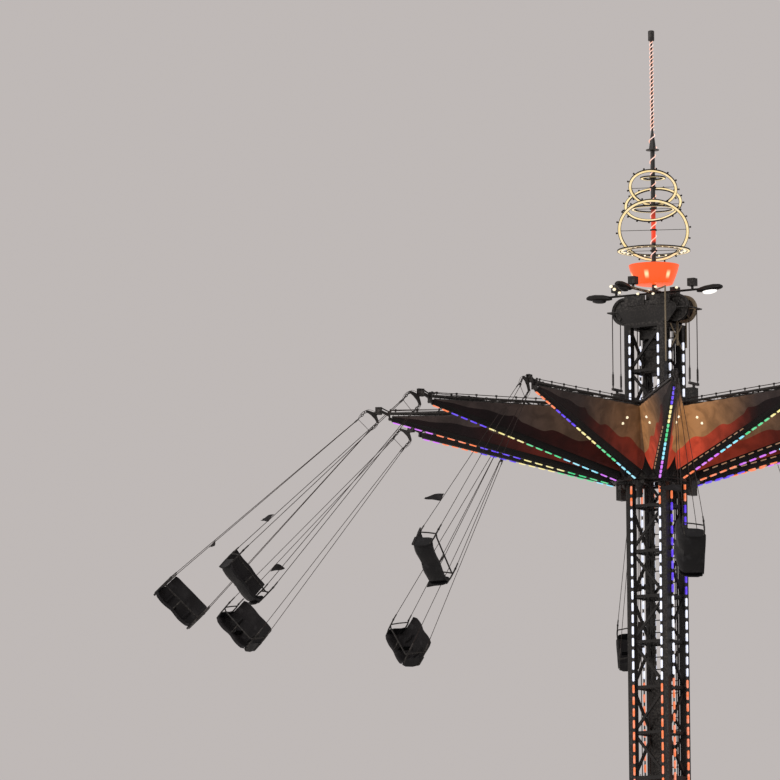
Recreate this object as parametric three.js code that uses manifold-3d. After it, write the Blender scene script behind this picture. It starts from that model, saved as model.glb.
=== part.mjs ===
// A tower chair swing ride: a lattice tower on an outrigger base, a carriage that climbs it, and a
// twelve-armed star with a folded canopy that turns on the carriage and swings twelve double chairs.
// Millimetres, +Z up, origin on the ground at the tower's centre, tower faces square to X and Y.
import * as THREE from "three";
import { mergeVertices } from "three/addons/utils/BufferGeometryUtils.js";
import Module from "manifold-3d";

const wasm = await Module();
wasm.setup();

// Driving dimensions: the gap that touching pieces keep, and the tower
const SEAT_GAP = 0.3;
const TOWER_WIDTH = 1100;
const POST = 180;
const BAY = 1104;
const SECTION_BAYS = [3, 10, 10];
const LATTICE_BOTTOM = 548;
const LATTICE_TOP = LATTICE_BOTTOM + SECTION_BAYS.reduce((sum, bays) => sum + bays) * BAY;
const FLANGE = 50;
const RAIL = 70;
const BRACE = 60;
const COLUMN_WIDTH = 250;
const COLUMN_TOP = 17300;

// Driving dimensions: the base that the photograph cuts off
const OUTRIGGER_REACH = 4700;
const BASE_BOX = 2300;
const BEAM_BOTTOM = 180;
const BEAM_WIDTH = 300;
const FOOT_HEIGHT = 90;
const FOOT_RADIUS = 330;
const SCREW_RADIUS = 90;
const STRUT = 140;

// Driving dimensions: the head, its sheaves and the lamps
const HEAD_TOP = 26750;
const CHEEK_Y = 330;
const CHEEK = 30;
const SHEAVE_X = 720;
const SHEAVE_Z = 26350;
const SHEAVE_RADIUS = 340;
const ROPE_Y = 200;
const ROPE_RADIUS = 12;
const ROPE_X = SHEAVE_X + SHEAVE_RADIUS + 6;
const LAMP_Z = 26780;
const LAMP_IN = 1200;
const LAMP_OUT = 1880;

// Driving dimensions: the bowl, the mast and the crown of rings and hoops
const BOWL_BOTTOM = 26985;
const BOWL_TOP = 27465;
const PIPE_RADIUS = 55;
const PIPE_SIDES = 12;
const MAST_TOP = 33300;
const BAND_DEPTH = 80;
const BAND_HEIGHT = 34;
const CROWN_SPOKE = 24;
const SPOKE_TURN = 24;
const RINGS = [
  { name: "crown_ring_low", radius: 895, z: 27830, sides: 22 },
  { name: "crown_ring_middle", radius: 540, z: 28865, sides: 18 },
  { name: "crown_ring_top", radius: 315, z: 29630, sides: 14 },
];
const HOOPS = [
  { name: "crown_hoop_low", radius: 876, z: 28340, tilt: 51, towards: 204 },
  { name: "crown_hoop_middle", radius: 715, z: 28970, tilt: 44, towards: 20 },
  { name: "crown_hoop_top", radius: 602, z: 29390, tilt: 39, towards: 200 },
];

// Driving dimensions: the carriage and the star
const CARRIAGE_BOTTOM = 21740;
const FRAME_BOTTOM = 24000;
const FRAME_TOP = 24080;
const CARRIAGE_TOP = 24370;
const CARRIAGE_WIDTH = 1360;
const STRIP_SLOT = 100;
const STRIP_SEATS = [
  { offset: 340, reach: 636, turn: 0 },
  { offset: 393, reach: 600, turn: 90 },
];
const EQUALISER_TOP = CARRIAGE_TOP + 130;
const ARMS = 12;
const FIRST_ARM = 2.8;
const HUB_BORE = 985;
const HUB_APOTHEM = 1080;
const STAR_BOTTOM = 22150;
const STAR_TOP = 23870;
const TIP_X = 6480;
const TIP_Y = 50;
const TIP_Z = 23830;
const VALLEY_X = 1989;
const VALLEY_Y = 496;
const KEEL = 70;
const EDGE_BEAM = 50;
const ARM_RIBS = [VALLEY_X, 4000];
const PIVOT_X = 6760;
const PIVOT_Z = 23900;
const PIN_RADIUS = 20;
const CLEVIS_Y = 43;

// Driving dimensions: a hanger and its double chair, measured straight down from the pivot pin
const SWING_OUT = 46;
const EYE_RADIUS = 50;
const EYE_DEPTH = 44.8;
const LINK_X = 195;
const ROPE_TOP = 505;
const CHAIR_HALF = 600;
const ROPE_END = 6450;
const SEAT_DROP = 7000;
const SEAT_HALF_DEPTH = 250;
const BACK_HEIGHT = 700;
const SHELL = 30;

const UP = new THREE.Vector3(0, 0, 1);
const SIDEWAYS = new THREE.Vector3(0, 1, 0);
const OUTWARD = new THREE.Vector3(1, 0, 0);
const POST_CENTRE = (TOWER_WIDTH - POST) / 2;
const KEEL_ROOT = new THREE.Vector3(HUB_APOTHEM + 50, 0, STAR_BOTTOM + 10);
const KEEL_TIP = new THREE.Vector3(TIP_X, 0, TIP_Z - 130);

const STEEL = new THREE.MeshStandardMaterial({ color: 0x2a2725, roughness: 0.5, metalness: 0.5 });
const DARK_STEEL = new THREE.MeshStandardMaterial({ color: 0x2b2a2c, roughness: 0.5, metalness: 0.6 });
const ROPE = new THREE.MeshStandardMaterial({ color: 0x55504c, roughness: 0.4, metalness: 0.9 });
const FABRIC = new THREE.MeshStandardMaterial({ color: 0xb03a2e, roughness: 0.9, metalness: 0 });
const CHAIR = new THREE.MeshStandardMaterial({ color: 0x1c1c20, roughness: 0.5, metalness: 0 });
const BOWL = new THREE.MeshStandardMaterial({ color: 0xff6a2a, roughness: 0.4, metalness: 0 });
const CREAM = new THREE.MeshStandardMaterial({ color: 0xf2e2b0, roughness: 0.5, metalness: 0.1 });

const ride = new THREE.Group();

function point(x, y, z) {
  return new THREE.Vector3(x, y, z);
}

function radians(degrees) {
  return (degrees * Math.PI) / 180;
}

// A closed geometry as a solid, and back again
function toSolid(geometry) {
  const bare = geometry.clone();
  bare.deleteAttribute("normal");
  bare.deleteAttribute("uv");
  const merged = mergeVertices(bare, 1e-3);
  const mesh = new wasm.Mesh({
    numProp: 3,
    vertProperties: merged.attributes.position.array,
    triVerts: new Uint32Array(merged.index.array),
  });
  return new wasm.Manifold(mesh);
}

function toGeometry(solid) {
  const mesh = solid.getMesh();
  const geometry = new THREE.BufferGeometry();
  geometry.setAttribute("position", new THREE.BufferAttribute(mesh.vertProperties, 3));
  geometry.setIndex(new THREE.BufferAttribute(mesh.triVerts, 1));
  geometry.computeVertexNormals();
  return geometry;
}

function join(parts, cuts = []) {
  let solid = toSolid(parts[0]);
  for (const part of parts.slice(1)) {
    solid = solid.add(toSolid(part));
  }
  for (const part of cuts) {
    solid = solid.subtract(toSolid(part));
  }
  return toGeometry(solid);
}

// A box between two heights, centred on x and y
function block(x, y, bottom, top, width, depth) {
  const height = top - bottom;
  return new THREE.BoxGeometry(width, depth, height).translate(x, y, bottom + height / 2);
}

// A straight bar of rectangular section, its depth turned towards the facing direction
function bar(from, to, width, depth, facing = UP) {
  const along = to.clone().sub(from);
  const length = along.length();
  along.normalize();
  const deep = facing.clone().addScaledVector(along, -facing.dot(along)).normalize();
  const wide = deep.clone().cross(along);
  const frame = new THREE.Matrix4().makeBasis(wide, deep, along);
  frame.setPosition(from.clone().add(to).multiplyScalar(0.5));
  return new THREE.BoxGeometry(width, depth, length).applyMatrix4(frame);
}

// A round rod between two points
function rod(from, to, radius, sides = 8) {
  const along = to.clone().sub(from);
  const turn = new THREE.Quaternion().setFromUnitVectors(SIDEWAYS, along.clone().normalize());
  const middle = from.clone().add(to).multiplyScalar(0.5);
  const rodShape = new THREE.CylinderGeometry(radius, radius, along.length(), sides);
  return rodShape.applyQuaternion(turn).translate(middle.x, middle.y, middle.z);
}

// A shape turned about the vertical axis from [radius, height] pairs
function turned(profile, sides) {
  const points = profile.map(([radius, height]) => new THREE.Vector2(radius, height));
  return new THREE.LatheGeometry(points, sides).rotateX(Math.PI / 2);
}

// A ring of rectangular section about the vertical axis
function ring(inner, outer, bottom, top, sides) {
  const profile = [
    [inner, bottom],
    [outer, bottom],
    [outer, top],
    [inner, top],
    [inner, bottom],
  ];
  return turned(profile, sides);
}

// A flat outline pushed up to a thickness, its middle on the plane of the outline
function plate(outline, thickness) {
  const shape = new THREE.Shape(outline.map(([x, y]) => new THREE.Vector2(x, y)));
  const options = { depth: thickness, bevelEnabled: false };
  return new THREE.ExtrudeGeometry(shape, options).translate(0, 0, -thickness / 2);
}

function turnAboutZ(geometry, degrees) {
  return geometry.clone().rotateZ(radians(degrees));
}

function addPiece(group, name, geometry, material) {
  const mesh = new THREE.Mesh(geometry, material);
  mesh.name = name;
  group.add(mesh);
}

// The square lattice tower: corner posts, rails at every bay and a zigzag of braces on each face
function towerFace(bottom, bays, firstBay) {
  const parts = [];
  const face = -POST_CENTRE;
  for (let bay = 0; bay < bays; bay++) {
    const low = bottom + bay * BAY;
    const high = low + BAY;
    const side = (firstBay + bay) % 2 === 0 ? -POST_CENTRE : POST_CENTRE;
    parts.push(bar(point(side, face, low), point(-side, face, high), BRACE, BRACE, SIDEWAYS));
    if (bay > 0) {
      parts.push(bar(point(-POST_CENTRE, face, low), point(POST_CENTRE, face, low), RAIL, RAIL));
    }
  }
  return parts;
}

function towerFlange(bottom) {
  const inner = TOWER_WIDTH - 2 * POST + 40;
  const outer = TOWER_WIDTH - 10;
  const top = bottom + FLANGE;
  return join([block(0, 0, bottom, top, outer, outer)], [block(0, 0, bottom - 1, top + 1, inner, inner)]);
}

function towerSection(bottom, bays, firstBay) {
  const top = bottom + bays * BAY - SEAT_GAP;
  const parts = [towerFlange(bottom), towerFlange(top - FLANGE)];
  for (const x of [-POST_CENTRE, POST_CENTRE]) {
    for (const y of [-POST_CENTRE, POST_CENTRE]) {
      parts.push(block(x, y, bottom, top, POST, POST));
    }
  }
  const face = towerFace(bottom, bays, firstBay);
  for (let side = 0; side < 4; side++) {
    parts.push(...face.map((piece) => turnAboutZ(piece, side * 90)));
  }
  const clear = bays * BAY;
  const trim = TOWER_WIDTH * 2;
  const above = block(0, 0, top, top + clear, trim, trim);
  const below = block(0, 0, bottom - clear, bottom, trim, trim);
  return join(parts, [above, below]);
}

function addTower() {
  let bay = 0;
  SECTION_BAYS.forEach((bays, index) => {
    const bottom = LATTICE_BOTTOM + bay * BAY;
    addPiece(ride, `tower_section_${index + 1}`, towerSection(bottom, bays, bay), STEEL);
    bay += bays;
  });
}

// The base: a box under the tower, four outriggers on round feet, and struts up to a collar
function addBase() {
  const boxTop = LATTICE_BOTTOM - SEAT_GAP;
  const collarTop = LATTICE_BOTTOM + SECTION_BAYS[0] * BAY - 60;
  const collarBottom = collarTop - 160;
  const collarHole = TOWER_WIDTH + 2 * SEAT_GAP;
  const collarWidth = TOWER_WIDTH + 220;
  const parts = [
    block(0, 0, BEAM_BOTTOM, boxTop, BASE_BOX, BASE_BOX),
    block(0, 0, collarBottom, collarTop, collarWidth, collarWidth),
  ];
  const footX = OUTRIGGER_REACH - FOOT_RADIUS;
  const strutFoot = point(footX - 500, 0, boxTop - 80);
  const strutHead = point(800, 0, collarBottom + 80);
  const leg = [
    block(OUTRIGGER_REACH / 2, 0, BEAM_BOTTOM, boxTop - 40, OUTRIGGER_REACH, BEAM_WIDTH),
    rod(point(footX, 0, FOOT_HEIGHT / 2), point(footX, 0, boxTop + 120), SCREW_RADIUS),
    rod(point(footX, 0, 0), point(footX, 0, FOOT_HEIGHT), FOOT_RADIUS, 10),
    bar(strutFoot, strutHead, STRUT, STRUT, SIDEWAYS),
  ];
  for (let corner = 0; corner < 4; corner++) {
    parts.push(...leg.map((piece) => turnAboutZ(piece, 45 + corner * 90)));
  }
  const hole = block(0, 0, boxTop + 1, collarTop + 1, collarHole, collarHole);
  addPiece(ride, "base_frame", join(parts, [hole]), DARK_STEEL);
}

// The dark cable column that stands inside the lower tower
function addCableColumn() {
  const column = block(0, 0, LATTICE_BOTTOM, COLUMN_TOP, COLUMN_WIDTH, COLUMN_WIDTH);
  addPiece(ride, "cable_column", column, DARK_STEEL);
}

// The head: a base plate, two cheeks that carry the sheave shafts, and a top plate for the mast
function addHead() {
  const plateTop = LATTICE_TOP + 60;
  const cheekTop = 26560;
  const parts = [
    block(0, 0, LATTICE_TOP, plateTop, TOWER_WIDTH, TOWER_WIDTH),
    block(0, 0, cheekTop - 40, cheekTop, 620, 2 * CHEEK_Y),
    block(0, 0, cheekTop - 10, HEAD_TOP, 300, 300),
  ];
  const half = TOWER_WIDTH / 2;
  const cheek = [
    [-half, plateTop - 10],
    [half, plateTop - 10],
    [SHEAVE_X + 80, SHEAVE_Z - 60],
    [SHEAVE_X + 80, SHEAVE_Z + 60],
    [half, cheekTop],
    [-half, cheekTop],
    [-SHEAVE_X - 80, SHEAVE_Z + 60],
    [-SHEAVE_X - 80, SHEAVE_Z - 60],
  ];
  const guard = SHEAVE_X + SHEAVE_RADIUS + 60;
  for (const side of [-1, 1]) {
    const y = side * (CHEEK_Y + CHEEK / 2);
    parts.push(plate(cheek, CHEEK).rotateX(Math.PI / 2).translate(0, y, 0));
    parts.push(block(side * 260, 0, cheekTop - 240, cheekTop, 60, 2 * CHEEK_Y));
    parts.push(block(side * guard, 0, SHEAVE_Z - 30, SHEAVE_Z, 30, 2 * CHEEK_Y + CHEEK));
    parts.push(bar(point(-guard, y, SHEAVE_Z - 15), point(guard, y, SHEAVE_Z - 15), CHEEK, CHEEK));
  }
  const ropeSlots = [-1, 1].map((side) => block(side * 380, 0, LATTICE_TOP - 1, plateTop + 1, 130, 560));
  addPiece(ride, "tower_head", join(parts, ropeSlots), DARK_STEEL);
}

// Two grooved sheaves on one shaft, between the cheeks
function sheavePair() {
  const rim = SHEAVE_RADIUS;
  const groove = SHEAVE_RADIUS - 30;
  const web = 90;
  const shaft = 35;
  const half = CHEEK_Y - SEAT_GAP;
  const sheave = (centre) => [
    [shaft, centre - web / 2],
    [rim, centre - web / 2],
    [rim, centre - 30],
    [groove, centre - ROPE_RADIUS],
    [groove, centre + ROPE_RADIUS],
    [rim, centre + 30],
    [rim, centre + web / 2],
    [shaft, centre + web / 2],
  ];
  const profile = [[0, -half], [shaft, -half], ...sheave(-ROPE_Y), ...sheave(ROPE_Y), [shaft, half], [0, half]];
  return turned(profile, 12).rotateX(Math.PI / 2);
}

function addSheaves() {
  const pair = sheavePair();
  addPiece(ride, "sheaves_left", pair.clone().translate(-SHEAVE_X, 0, SHEAVE_Z), DARK_STEEL);
  addPiece(ride, "sheaves_right", pair.clone().translate(SHEAVE_X, 0, SHEAVE_Z), DARK_STEEL);
}

// Two hoist ropes on each side, from the sheaves down to the carriage's equaliser bar
function addHoistRopes() {
  for (const [name, side] of [["left", -1], ["right", 1]]) {
    const x = side * ROPE_X;
    const parts = [block(x, 0, EQUALISER_TOP - 60, EQUALISER_TOP, 60, 2 * ROPE_Y + 60)];
    for (const y of [-ROPE_Y, ROPE_Y]) {
      parts.push(rod(point(x, y, EQUALISER_TOP - 20), point(x, y, SHEAVE_Z), ROPE_RADIUS, 6));
    }
    const lug = block(x, 0, CARRIAGE_TOP + SEAT_GAP, EQUALISER_TOP - 20, 40, 80);
    addPiece(ride, `hoist_ropes_${name}`, join([...parts, lug]), ROPE);
  }
}

// Four street-lamp heads on twin arms, each with its ballast box, held by a collar under the bowl
function addFloodlights() {
  const collar = block(0, 0, HEAD_TOP + SEAT_GAP, LAMP_Z + 60, 260, 260);
  const parts = [collar];
  const armEnd = LAMP_IN + 50;
  const ballastX = LAMP_IN - 140;
  for (let side = 0; side < 4; side++) {
    const lamp = [
      bar(point(100, -60, LAMP_Z), point(armEnd, -60, LAMP_Z), 34, 34),
      bar(point(100, 60, LAMP_Z), point(armEnd, 60, LAMP_Z), 34, 34),
      bar(point(ballastX, -77, LAMP_Z), point(ballastX, 77, LAMP_Z), 34, 34),
      block(ballastX, 0, LAMP_Z - 10, LAMP_Z + 100, 60, 60),
      block(ballastX, 0, LAMP_Z + 90, LAMP_Z + 280, 190, 190),
      bar(point(LAMP_IN, 0, LAMP_Z - 60), point(LAMP_OUT, 0, LAMP_Z), 260, 190),
    ];
    parts.push(...lamp.map((piece) => turnAboutZ(piece, side * 90)));
  }
  const hole = block(0, 0, HEAD_TOP, LAMP_Z + 80, 2 * PIPE_RADIUS + 10, 2 * PIPE_RADIUS + 10);
  addPiece(ride, "floodlights", join(parts, [hole]), DARK_STEEL);
}

// The glowing bowl round the foot of the mast
function addBowl() {
  const wall = 16;
  const hole = PIPE_RADIUS + SEAT_GAP;
  const profile = [
    [hole, BOWL_BOTTOM],
    [455, BOWL_BOTTOM],
    [560, BOWL_BOTTOM + 220],
    [620, BOWL_TOP],
    [620 - wall, BOWL_TOP],
    [560 - wall, BOWL_BOTTOM + 225],
    [450, BOWL_BOTTOM + wall],
    [hole, BOWL_BOTTOM + wall],
    [hole, BOWL_BOTTOM],
  ];
  addPiece(ride, "crown_bowl", turned(profile, PIPE_SIDES * 2), BOWL);
}

// The mast: pipe, flange disc, cone, thin top mast and cap
function addMast() {
  const discBottom = 30310;
  const profile = [
    [0, HEAD_TOP + SEAT_GAP],
    [PIPE_RADIUS, HEAD_TOP + SEAT_GAP],
    [PIPE_RADIUS, discBottom],
    [165, discBottom],
    [165, discBottom + 25],
    [90, discBottom + 25],
    [28, discBottom + 460],
    [28, MAST_TOP - 265],
    [77, MAST_TOP - 260],
    [77, MAST_TOP - 15],
    [40, MAST_TOP],
    [0, MAST_TOP],
  ];
  addPiece(ride, "crown_mast", turned(profile, PIPE_SIDES), STEEL);
}

// The level rings, each with four spokes on a collar round the pipe
function crownRing({ radius, z, sides }) {
  const collar = PIPE_RADIUS + 30;
  const parts = [
    ring(radius - BAND_DEPTH, radius, z - BAND_HEIGHT / 2, z + BAND_HEIGHT / 2, sides),
    turned([[0, z - 20], [collar, z - 20], [collar, z + 20], [0, z + 20]], PIPE_SIDES),
  ];
  for (const angle of [0, 90]) {
    const reach = radius - BAND_DEPTH / 2;
    const spoke = bar(point(-reach, 0, z), point(reach, 0, z), CROWN_SPOKE, CROWN_SPOKE);
    parts.push(turnAboutZ(spoke, angle + SPOKE_TURN));
  }
  const bore = PIPE_RADIUS + SEAT_GAP;
  return join(parts, [turned([[0, z - 60], [bore, z - 60], [bore, z + 60], [0, z + 60]], PIPE_SIDES)]);
}

// The tilted hoops: flat bands with one level strut through a collar round the pipe
function crownHoop({ radius, z, tilt, towards }) {
  const collar = PIPE_RADIUS + 30;
  const lean = point(Math.sin(radians(towards)), -Math.cos(radians(towards)), 0);
  const axis = UP.clone().cross(lean);
  const hoop = ring(radius - BAND_DEPTH, radius, -BAND_HEIGHT / 2, BAND_HEIGHT / 2, 22);
  hoop.applyQuaternion(new THREE.Quaternion().setFromAxisAngle(axis, radians(tilt)));
  const end = axis.clone().multiplyScalar(radius - BAND_DEPTH / 2);
  const strut = bar(end.clone().negate(), end, CROWN_SPOKE, CROWN_SPOKE);
  const parts = [hoop, strut, turned([[0, -20], [collar, -20], [collar, 20], [0, 20]], PIPE_SIDES)];
  const bore = PIPE_RADIUS + SEAT_GAP;
  const hole = turned([[0, -60], [bore, -60], [bore, 60], [0, 60]], PIPE_SIDES);
  return join(parts, [hole]).translate(0, 0, z);
}

function addCrown() {
  addBowl();
  addMast();
  for (const size of RINGS) {
    addPiece(ride, size.name, crownRing(size), CREAM);
  }
  for (const size of HOOPS) {
    addPiece(ride, size.name, crownHoop(size), CREAM);
  }
}

// The carriage: a square sleeve that slides on the tower posts, a round deck for the slewing ring,
// crossheads at the top that take the hoist ropes, drive boxes under the deck, and slots that let the
// tower's light strips pass
function addCarriage() {
  const inner = TOWER_WIDTH + 2 * SEAT_GAP;
  const half = CARRIAGE_WIDTH / 2;
  const post = 90;
  const brace = 60;
  const braceDepth = 40;
  const deckTop = STAR_BOTTOM - SEAT_GAP;
  const deckBottom = deckTop - 40;
  const collarBottom = deckBottom - 50;
  const deck = HUB_APOTHEM - 10;
  const parts = [
    block(0, 0, collarBottom, deckTop, CARRIAGE_WIDTH, CARRIAGE_WIDTH),
    block(0, 0, FRAME_BOTTOM, FRAME_TOP, CARRIAGE_WIDTH, CARRIAGE_WIDTH),
    turned([[0, deckBottom], [deck, deckBottom], [deck, deckTop], [0, deckTop]], 24),
  ];
  for (const side of [-1, 1]) {
    for (const front of [-1, 1]) {
      const corner = half - post / 2;
      parts.push(block(side * corner, front * corner, collarBottom, FRAME_TOP, post, post));
    }
    parts.push(block(side * 880, 0, FRAME_BOTTOM, FRAME_TOP + 60, 460, 240));
    parts.push(block(side * 1010, 0, FRAME_BOTTOM + 20, CARRIAGE_TOP, 200, 280));
    parts.push(block(side * 980, 0, CARRIAGE_BOTTOM, deckBottom + 20, 140, 280));
    const faceX = side * (half - braceDepth / 2);
    const low = point(faceX, 50 - half, STAR_BOTTOM + 150);
    const high = point(faceX, half - 50, FRAME_BOTTOM - 50);
    const lean = bar(low, high, braceDepth, brace);
    parts.push(lean);
    parts.push(turnAboutZ(lean, 90));
  }
  const below = CARRIAGE_BOTTOM - 1;
  const above = CARRIAGE_TOP + 1;
  const cuts = [block(0, 0, below, above, inner, inner)];
  for (const { offset, reach, turn } of STRIP_SEATS) {
    for (const side of [-1, 1]) {
      const slot = block(0, side * offset, below, above, 2 * reach, STRIP_SLOT);
      cuts.push(turnAboutZ(slot, turn));
    }
  }
  addPiece(ride, "carriage", join(parts, cuts), DARK_STEEL);
}

// The star's hub: two twelve-sided rings on posts
function addHub() {
  const corner = HUB_APOTHEM / Math.cos(Math.PI / ARMS);
  const hubRing = (bottom, top) => {
    const outside = turned([[0, bottom], [corner, bottom], [corner, top], [0, top]], ARMS);
    const bore = [[0, bottom - 1], [HUB_BORE, bottom - 1], [HUB_BORE, top + 1], [0, top + 1]];
    const hole = turned(bore, ARMS * 2);
    return join([outside], [hole]).rotateZ(radians(FIRST_ARM + 15));
  };
  const parts = [hubRing(STAR_BOTTOM, STAR_BOTTOM + 160), hubRing(STAR_TOP - 160, STAR_TOP)];
  for (let arm = 0; arm < ARMS; arm++) {
    const post = block(corner - 80, 0, STAR_BOTTOM + 10, STAR_TOP - 10, 70, 70);
    parts.push(turnAboutZ(post, FIRST_ARM + 15 + arm * 30));
  }
  addPiece(ride, "star_hub", join(parts), DARK_STEEL);
}

// Half the width of an arm at a distance along it, between its valley and its tip
function armHalfWidth(x) {
  return VALLEY_Y + ((TIP_Y - VALLEY_Y) * (x - VALLEY_X)) / (TIP_X - VALLEY_X);
}

// Height of the keel at a distance along the arm
function keelHeight(x) {
  return KEEL_ROOT.z + ((KEEL_TIP.z - KEEL_ROOT.z) * (x - KEEL_ROOT.x)) / (KEEL_TIP.x - KEEL_ROOT.x);
}

// The nose of an arm: an end plate, two bars out to a clevis, and the pin of the hanger
function armNose() {
  const heel = PIVOT_X - 75;
  const clevisBottom = PIVOT_Z - 95;
  const clevisTop = PIVOT_Z + 90;
  const parts = [
    block(TIP_X + 10, 0, KEEL_TIP.z - KEEL / 2, TIP_Z + 55, 40, 150),
    bar(point(TIP_X + 10, 0, TIP_Z + 40), point(heel, 0, PIVOT_Z + 72), 28, 28),
    bar(point(TIP_X + 10, 0, TIP_Z - 40), point(heel, 0, PIVOT_Z - 17), 60, 65),
    block(heel, 0, clevisBottom, clevisTop, 30, 2 * CLEVIS_Y),
    block(PIVOT_X, 0, clevisTop - 25, clevisTop, 150, 2 * CLEVIS_Y),
    rod(point(PIVOT_X, -CLEVIS_Y, PIVOT_Z), point(PIVOT_X, CLEVIS_Y, PIVOT_Z), PIN_RADIUS),
  ];
  for (const side of [-1, 1]) {
    parts.push(block(PIVOT_X, side * (CLEVIS_Y - 10), clevisBottom, clevisTop, 150, 20));
  }
  return parts;
}

// One arm, along +X: root frame, keel, two edge beams, ribs, and the nose with its pin
function armGeometry() {
  const rib = 44;
  const rootX = HUB_APOTHEM + SEAT_GAP + 40;
  const rootHalf = 270;
  const parts = [
    block(rootX, 0, STAR_BOTTOM, STAR_TOP, 80, 80),
    block(rootX, 0, STAR_TOP - 90, STAR_TOP, 80, 2 * rootHalf),
    bar(KEEL_ROOT, KEEL_TIP, KEEL, KEEL),
    ...armNose(),
  ];
  for (const side of [-1, 1]) {
    const root = point(rootX, side * (rootHalf - 30), TIP_Z);
    const valley = point(VALLEY_X, side * VALLEY_Y, TIP_Z);
    parts.push(bar(root, valley, EDGE_BEAM, EDGE_BEAM));
    parts.push(bar(valley, point(TIP_X, side * TIP_Y, TIP_Z), EDGE_BEAM, EDGE_BEAM));
    for (const x of ARM_RIBS) {
      const foot = point(x, 0, keelHeight(x));
      parts.push(bar(foot, point(x, side * armHalfWidth(x), TIP_Z), rib, rib, OUTWARD));
    }
  }
  for (const x of ARM_RIBS) {
    const half = armHalfWidth(x);
    parts.push(bar(point(x, -half, TIP_Z), point(x, half, TIP_Z), rib, rib));
  }
  return join(parts);
}

// The yoke below the eye of a hanger: a shallow arch with a horn at each end
function yoke() {
  const half = [
    [45, -85],
    [80, -120],
    [150, -155],
    [225, -205],
    [178, -240],
    [120, -215],
    [60, -202],
  ];
  const mirrored = half.map(([x, z]) => [-x, z]).reverse();
  return plate([...half, ...mirrored], EYE_DEPTH).rotateX(Math.PI / 2);
}

// The hanger, straight down from the pivot: eye, yoke, links, node plates, a cross tie and four ropes
function hangerGeometry() {
  const ropeBar = 16;
  const nodeHalf = 55;
  const side = EYE_DEPTH / 2;
  const bore = rod(point(0, -side - 5, 0), point(0, side + 5, 0), PIN_RADIUS + 2);
  const node = [
    [20, 65 - ROPE_TOP],
    [nodeHalf, -15 - ROPE_TOP],
    [-nodeHalf, -15 - ROPE_TOP],
    [-20, 65 - ROPE_TOP],
  ];
  const parts = [
    rod(point(0, -side, 0), point(0, side, 0), EYE_RADIUS, 10),
    block(0, 0, -100, -10, 70, EYE_DEPTH),
    yoke(),
    bar(point(-LINK_X, 0, 5 - ROPE_TOP), point(LINK_X, 0, 5 - ROPE_TOP), 12, 12),
  ];
  for (const end of [-1, 1]) {
    const x = end * LINK_X;
    parts.push(bar(point(end * 200, 0, -222), point(x, 0, 35 - ROPE_TOP), 30, 30));
    parts.push(plate(node, 20).rotateX(Math.PI / 2).rotateZ(Math.PI / 2).translate(x, 0, 0));
    for (const front of [-1, 1]) {
      const top = point(x, front * (nodeHalf - 15), -ROPE_TOP);
      const foot = point(end * (CHAIR_HALF - 20), front * (SEAT_HALF_DEPTH - 20), 3 * SEAT_GAP - ROPE_END);
      parts.push(bar(top, foot, ropeBar, ropeBar));
    }
  }
  return join(parts, [bore]);
}

// The double chair below its hanger: side frames, seat, tall back, end panels and lap bar
function chairGeometry() {
  const top = -ROPE_END - SEAT_GAP;
  const seat = -SEAT_DROP;
  const half = CHAIR_HALF;
  const depth = SEAT_HALF_DEPTH;
  const backTop = seat + BACK_HEIGHT;
  const profile = [
    [-depth - 60, backTop],
    [-depth - 60 + SHELL, backTop],
    [-depth + 10 + SHELL, seat + 90],
    [-depth + 110, seat + SHELL],
    [depth - 30, seat + SHELL + 25],
    [depth + 20, seat - 10],
    [depth - 10, seat - 40],
    [-depth + 60, seat - 60],
    [-depth - 20, seat + 60],
  ];
  const shell = plate(profile, 2 * half - 40).rotateX(Math.PI / 2).rotateZ(Math.PI / 2);
  const parts = [shell];
  for (const side of [-1, 1]) {
    const x = side * (half - 20);
    const panel = plate([[-depth, seat], [depth - 20, seat], [depth - 40, seat + 230], [-depth, seat + 260]], SHELL);
    parts.push(panel.rotateX(Math.PI / 2).rotateZ(Math.PI / 2).translate(side * (half - 30), 0, 0));
    parts.push(block(x, depth - 20, seat - 20, top, 40, 40));
    parts.push(block(x, -depth + 20, seat, top, 40, 40));
  }
  const barZ = seat + 300;
  parts.push(rod(point(-half + 20, depth - 10, barZ), point(half - 20, depth - 10, barZ), 20, 6));
  parts.push(bar(point(0, depth - 10, barZ), point(0, depth - 40, seat + 20), 36, 36));
  return join(parts);
}

// The star: twelve like arms, each with its hanger and chair swung out at the tip
function addArms() {
  const arm = armGeometry();
  const hanger = hangerGeometry();
  const chair = chairGeometry();
  for (let index = 0; index < ARMS; index++) {
    const number = String(index + 1).padStart(2, "0");
    const spoke = new THREE.Group();
    spoke.rotation.z = radians(FIRST_ARM + index * 30 - 90);
    addPiece(spoke, `arm_${number}`, arm, STEEL);
    const swing = new THREE.Group();
    swing.position.set(PIVOT_X, 0, PIVOT_Z);
    swing.rotation.y = -radians(SWING_OUT);
    addPiece(swing, `hanger_${number}`, hanger, ROPE);
    addPiece(swing, `chair_${number}`, chair, CHAIR);
    spoke.add(swing);
    ride.add(spoke);
  }
}

// A thin skin: the faces given, the same faces raised by its thickness, and a wall along each free edge
function skin(corners, faces, rise) {
  const raised = corners.map((corner) => corner.clone().add(point(0, 0, rise)));
  const count = corners.length;
  const triangles = [];
  const free = new Map();
  for (const [a, b, c] of faces) {
    triangles.push([a, b, c], [a + count, c + count, b + count]);
    for (const [from, to] of [[a, b], [b, c], [c, a]]) {
      if (free.has(`${to},${from}`)) {
        free.delete(`${to},${from}`);
      } else {
        free.set(`${from},${to}`, [from, to]);
      }
    }
  }
  for (const [from, to] of free.values()) {
    triangles.push([to, from, from + count], [to, from + count, to + count]);
  }
  const geometry = new THREE.BufferGeometry();
  const positions = [...corners, ...raised].flatMap((corner) => corner.toArray());
  geometry.setAttribute("position", new THREE.Float32BufferAttribute(positions, 3));
  geometry.setIndex(triangles.flat());
  return geometry;
}

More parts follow.
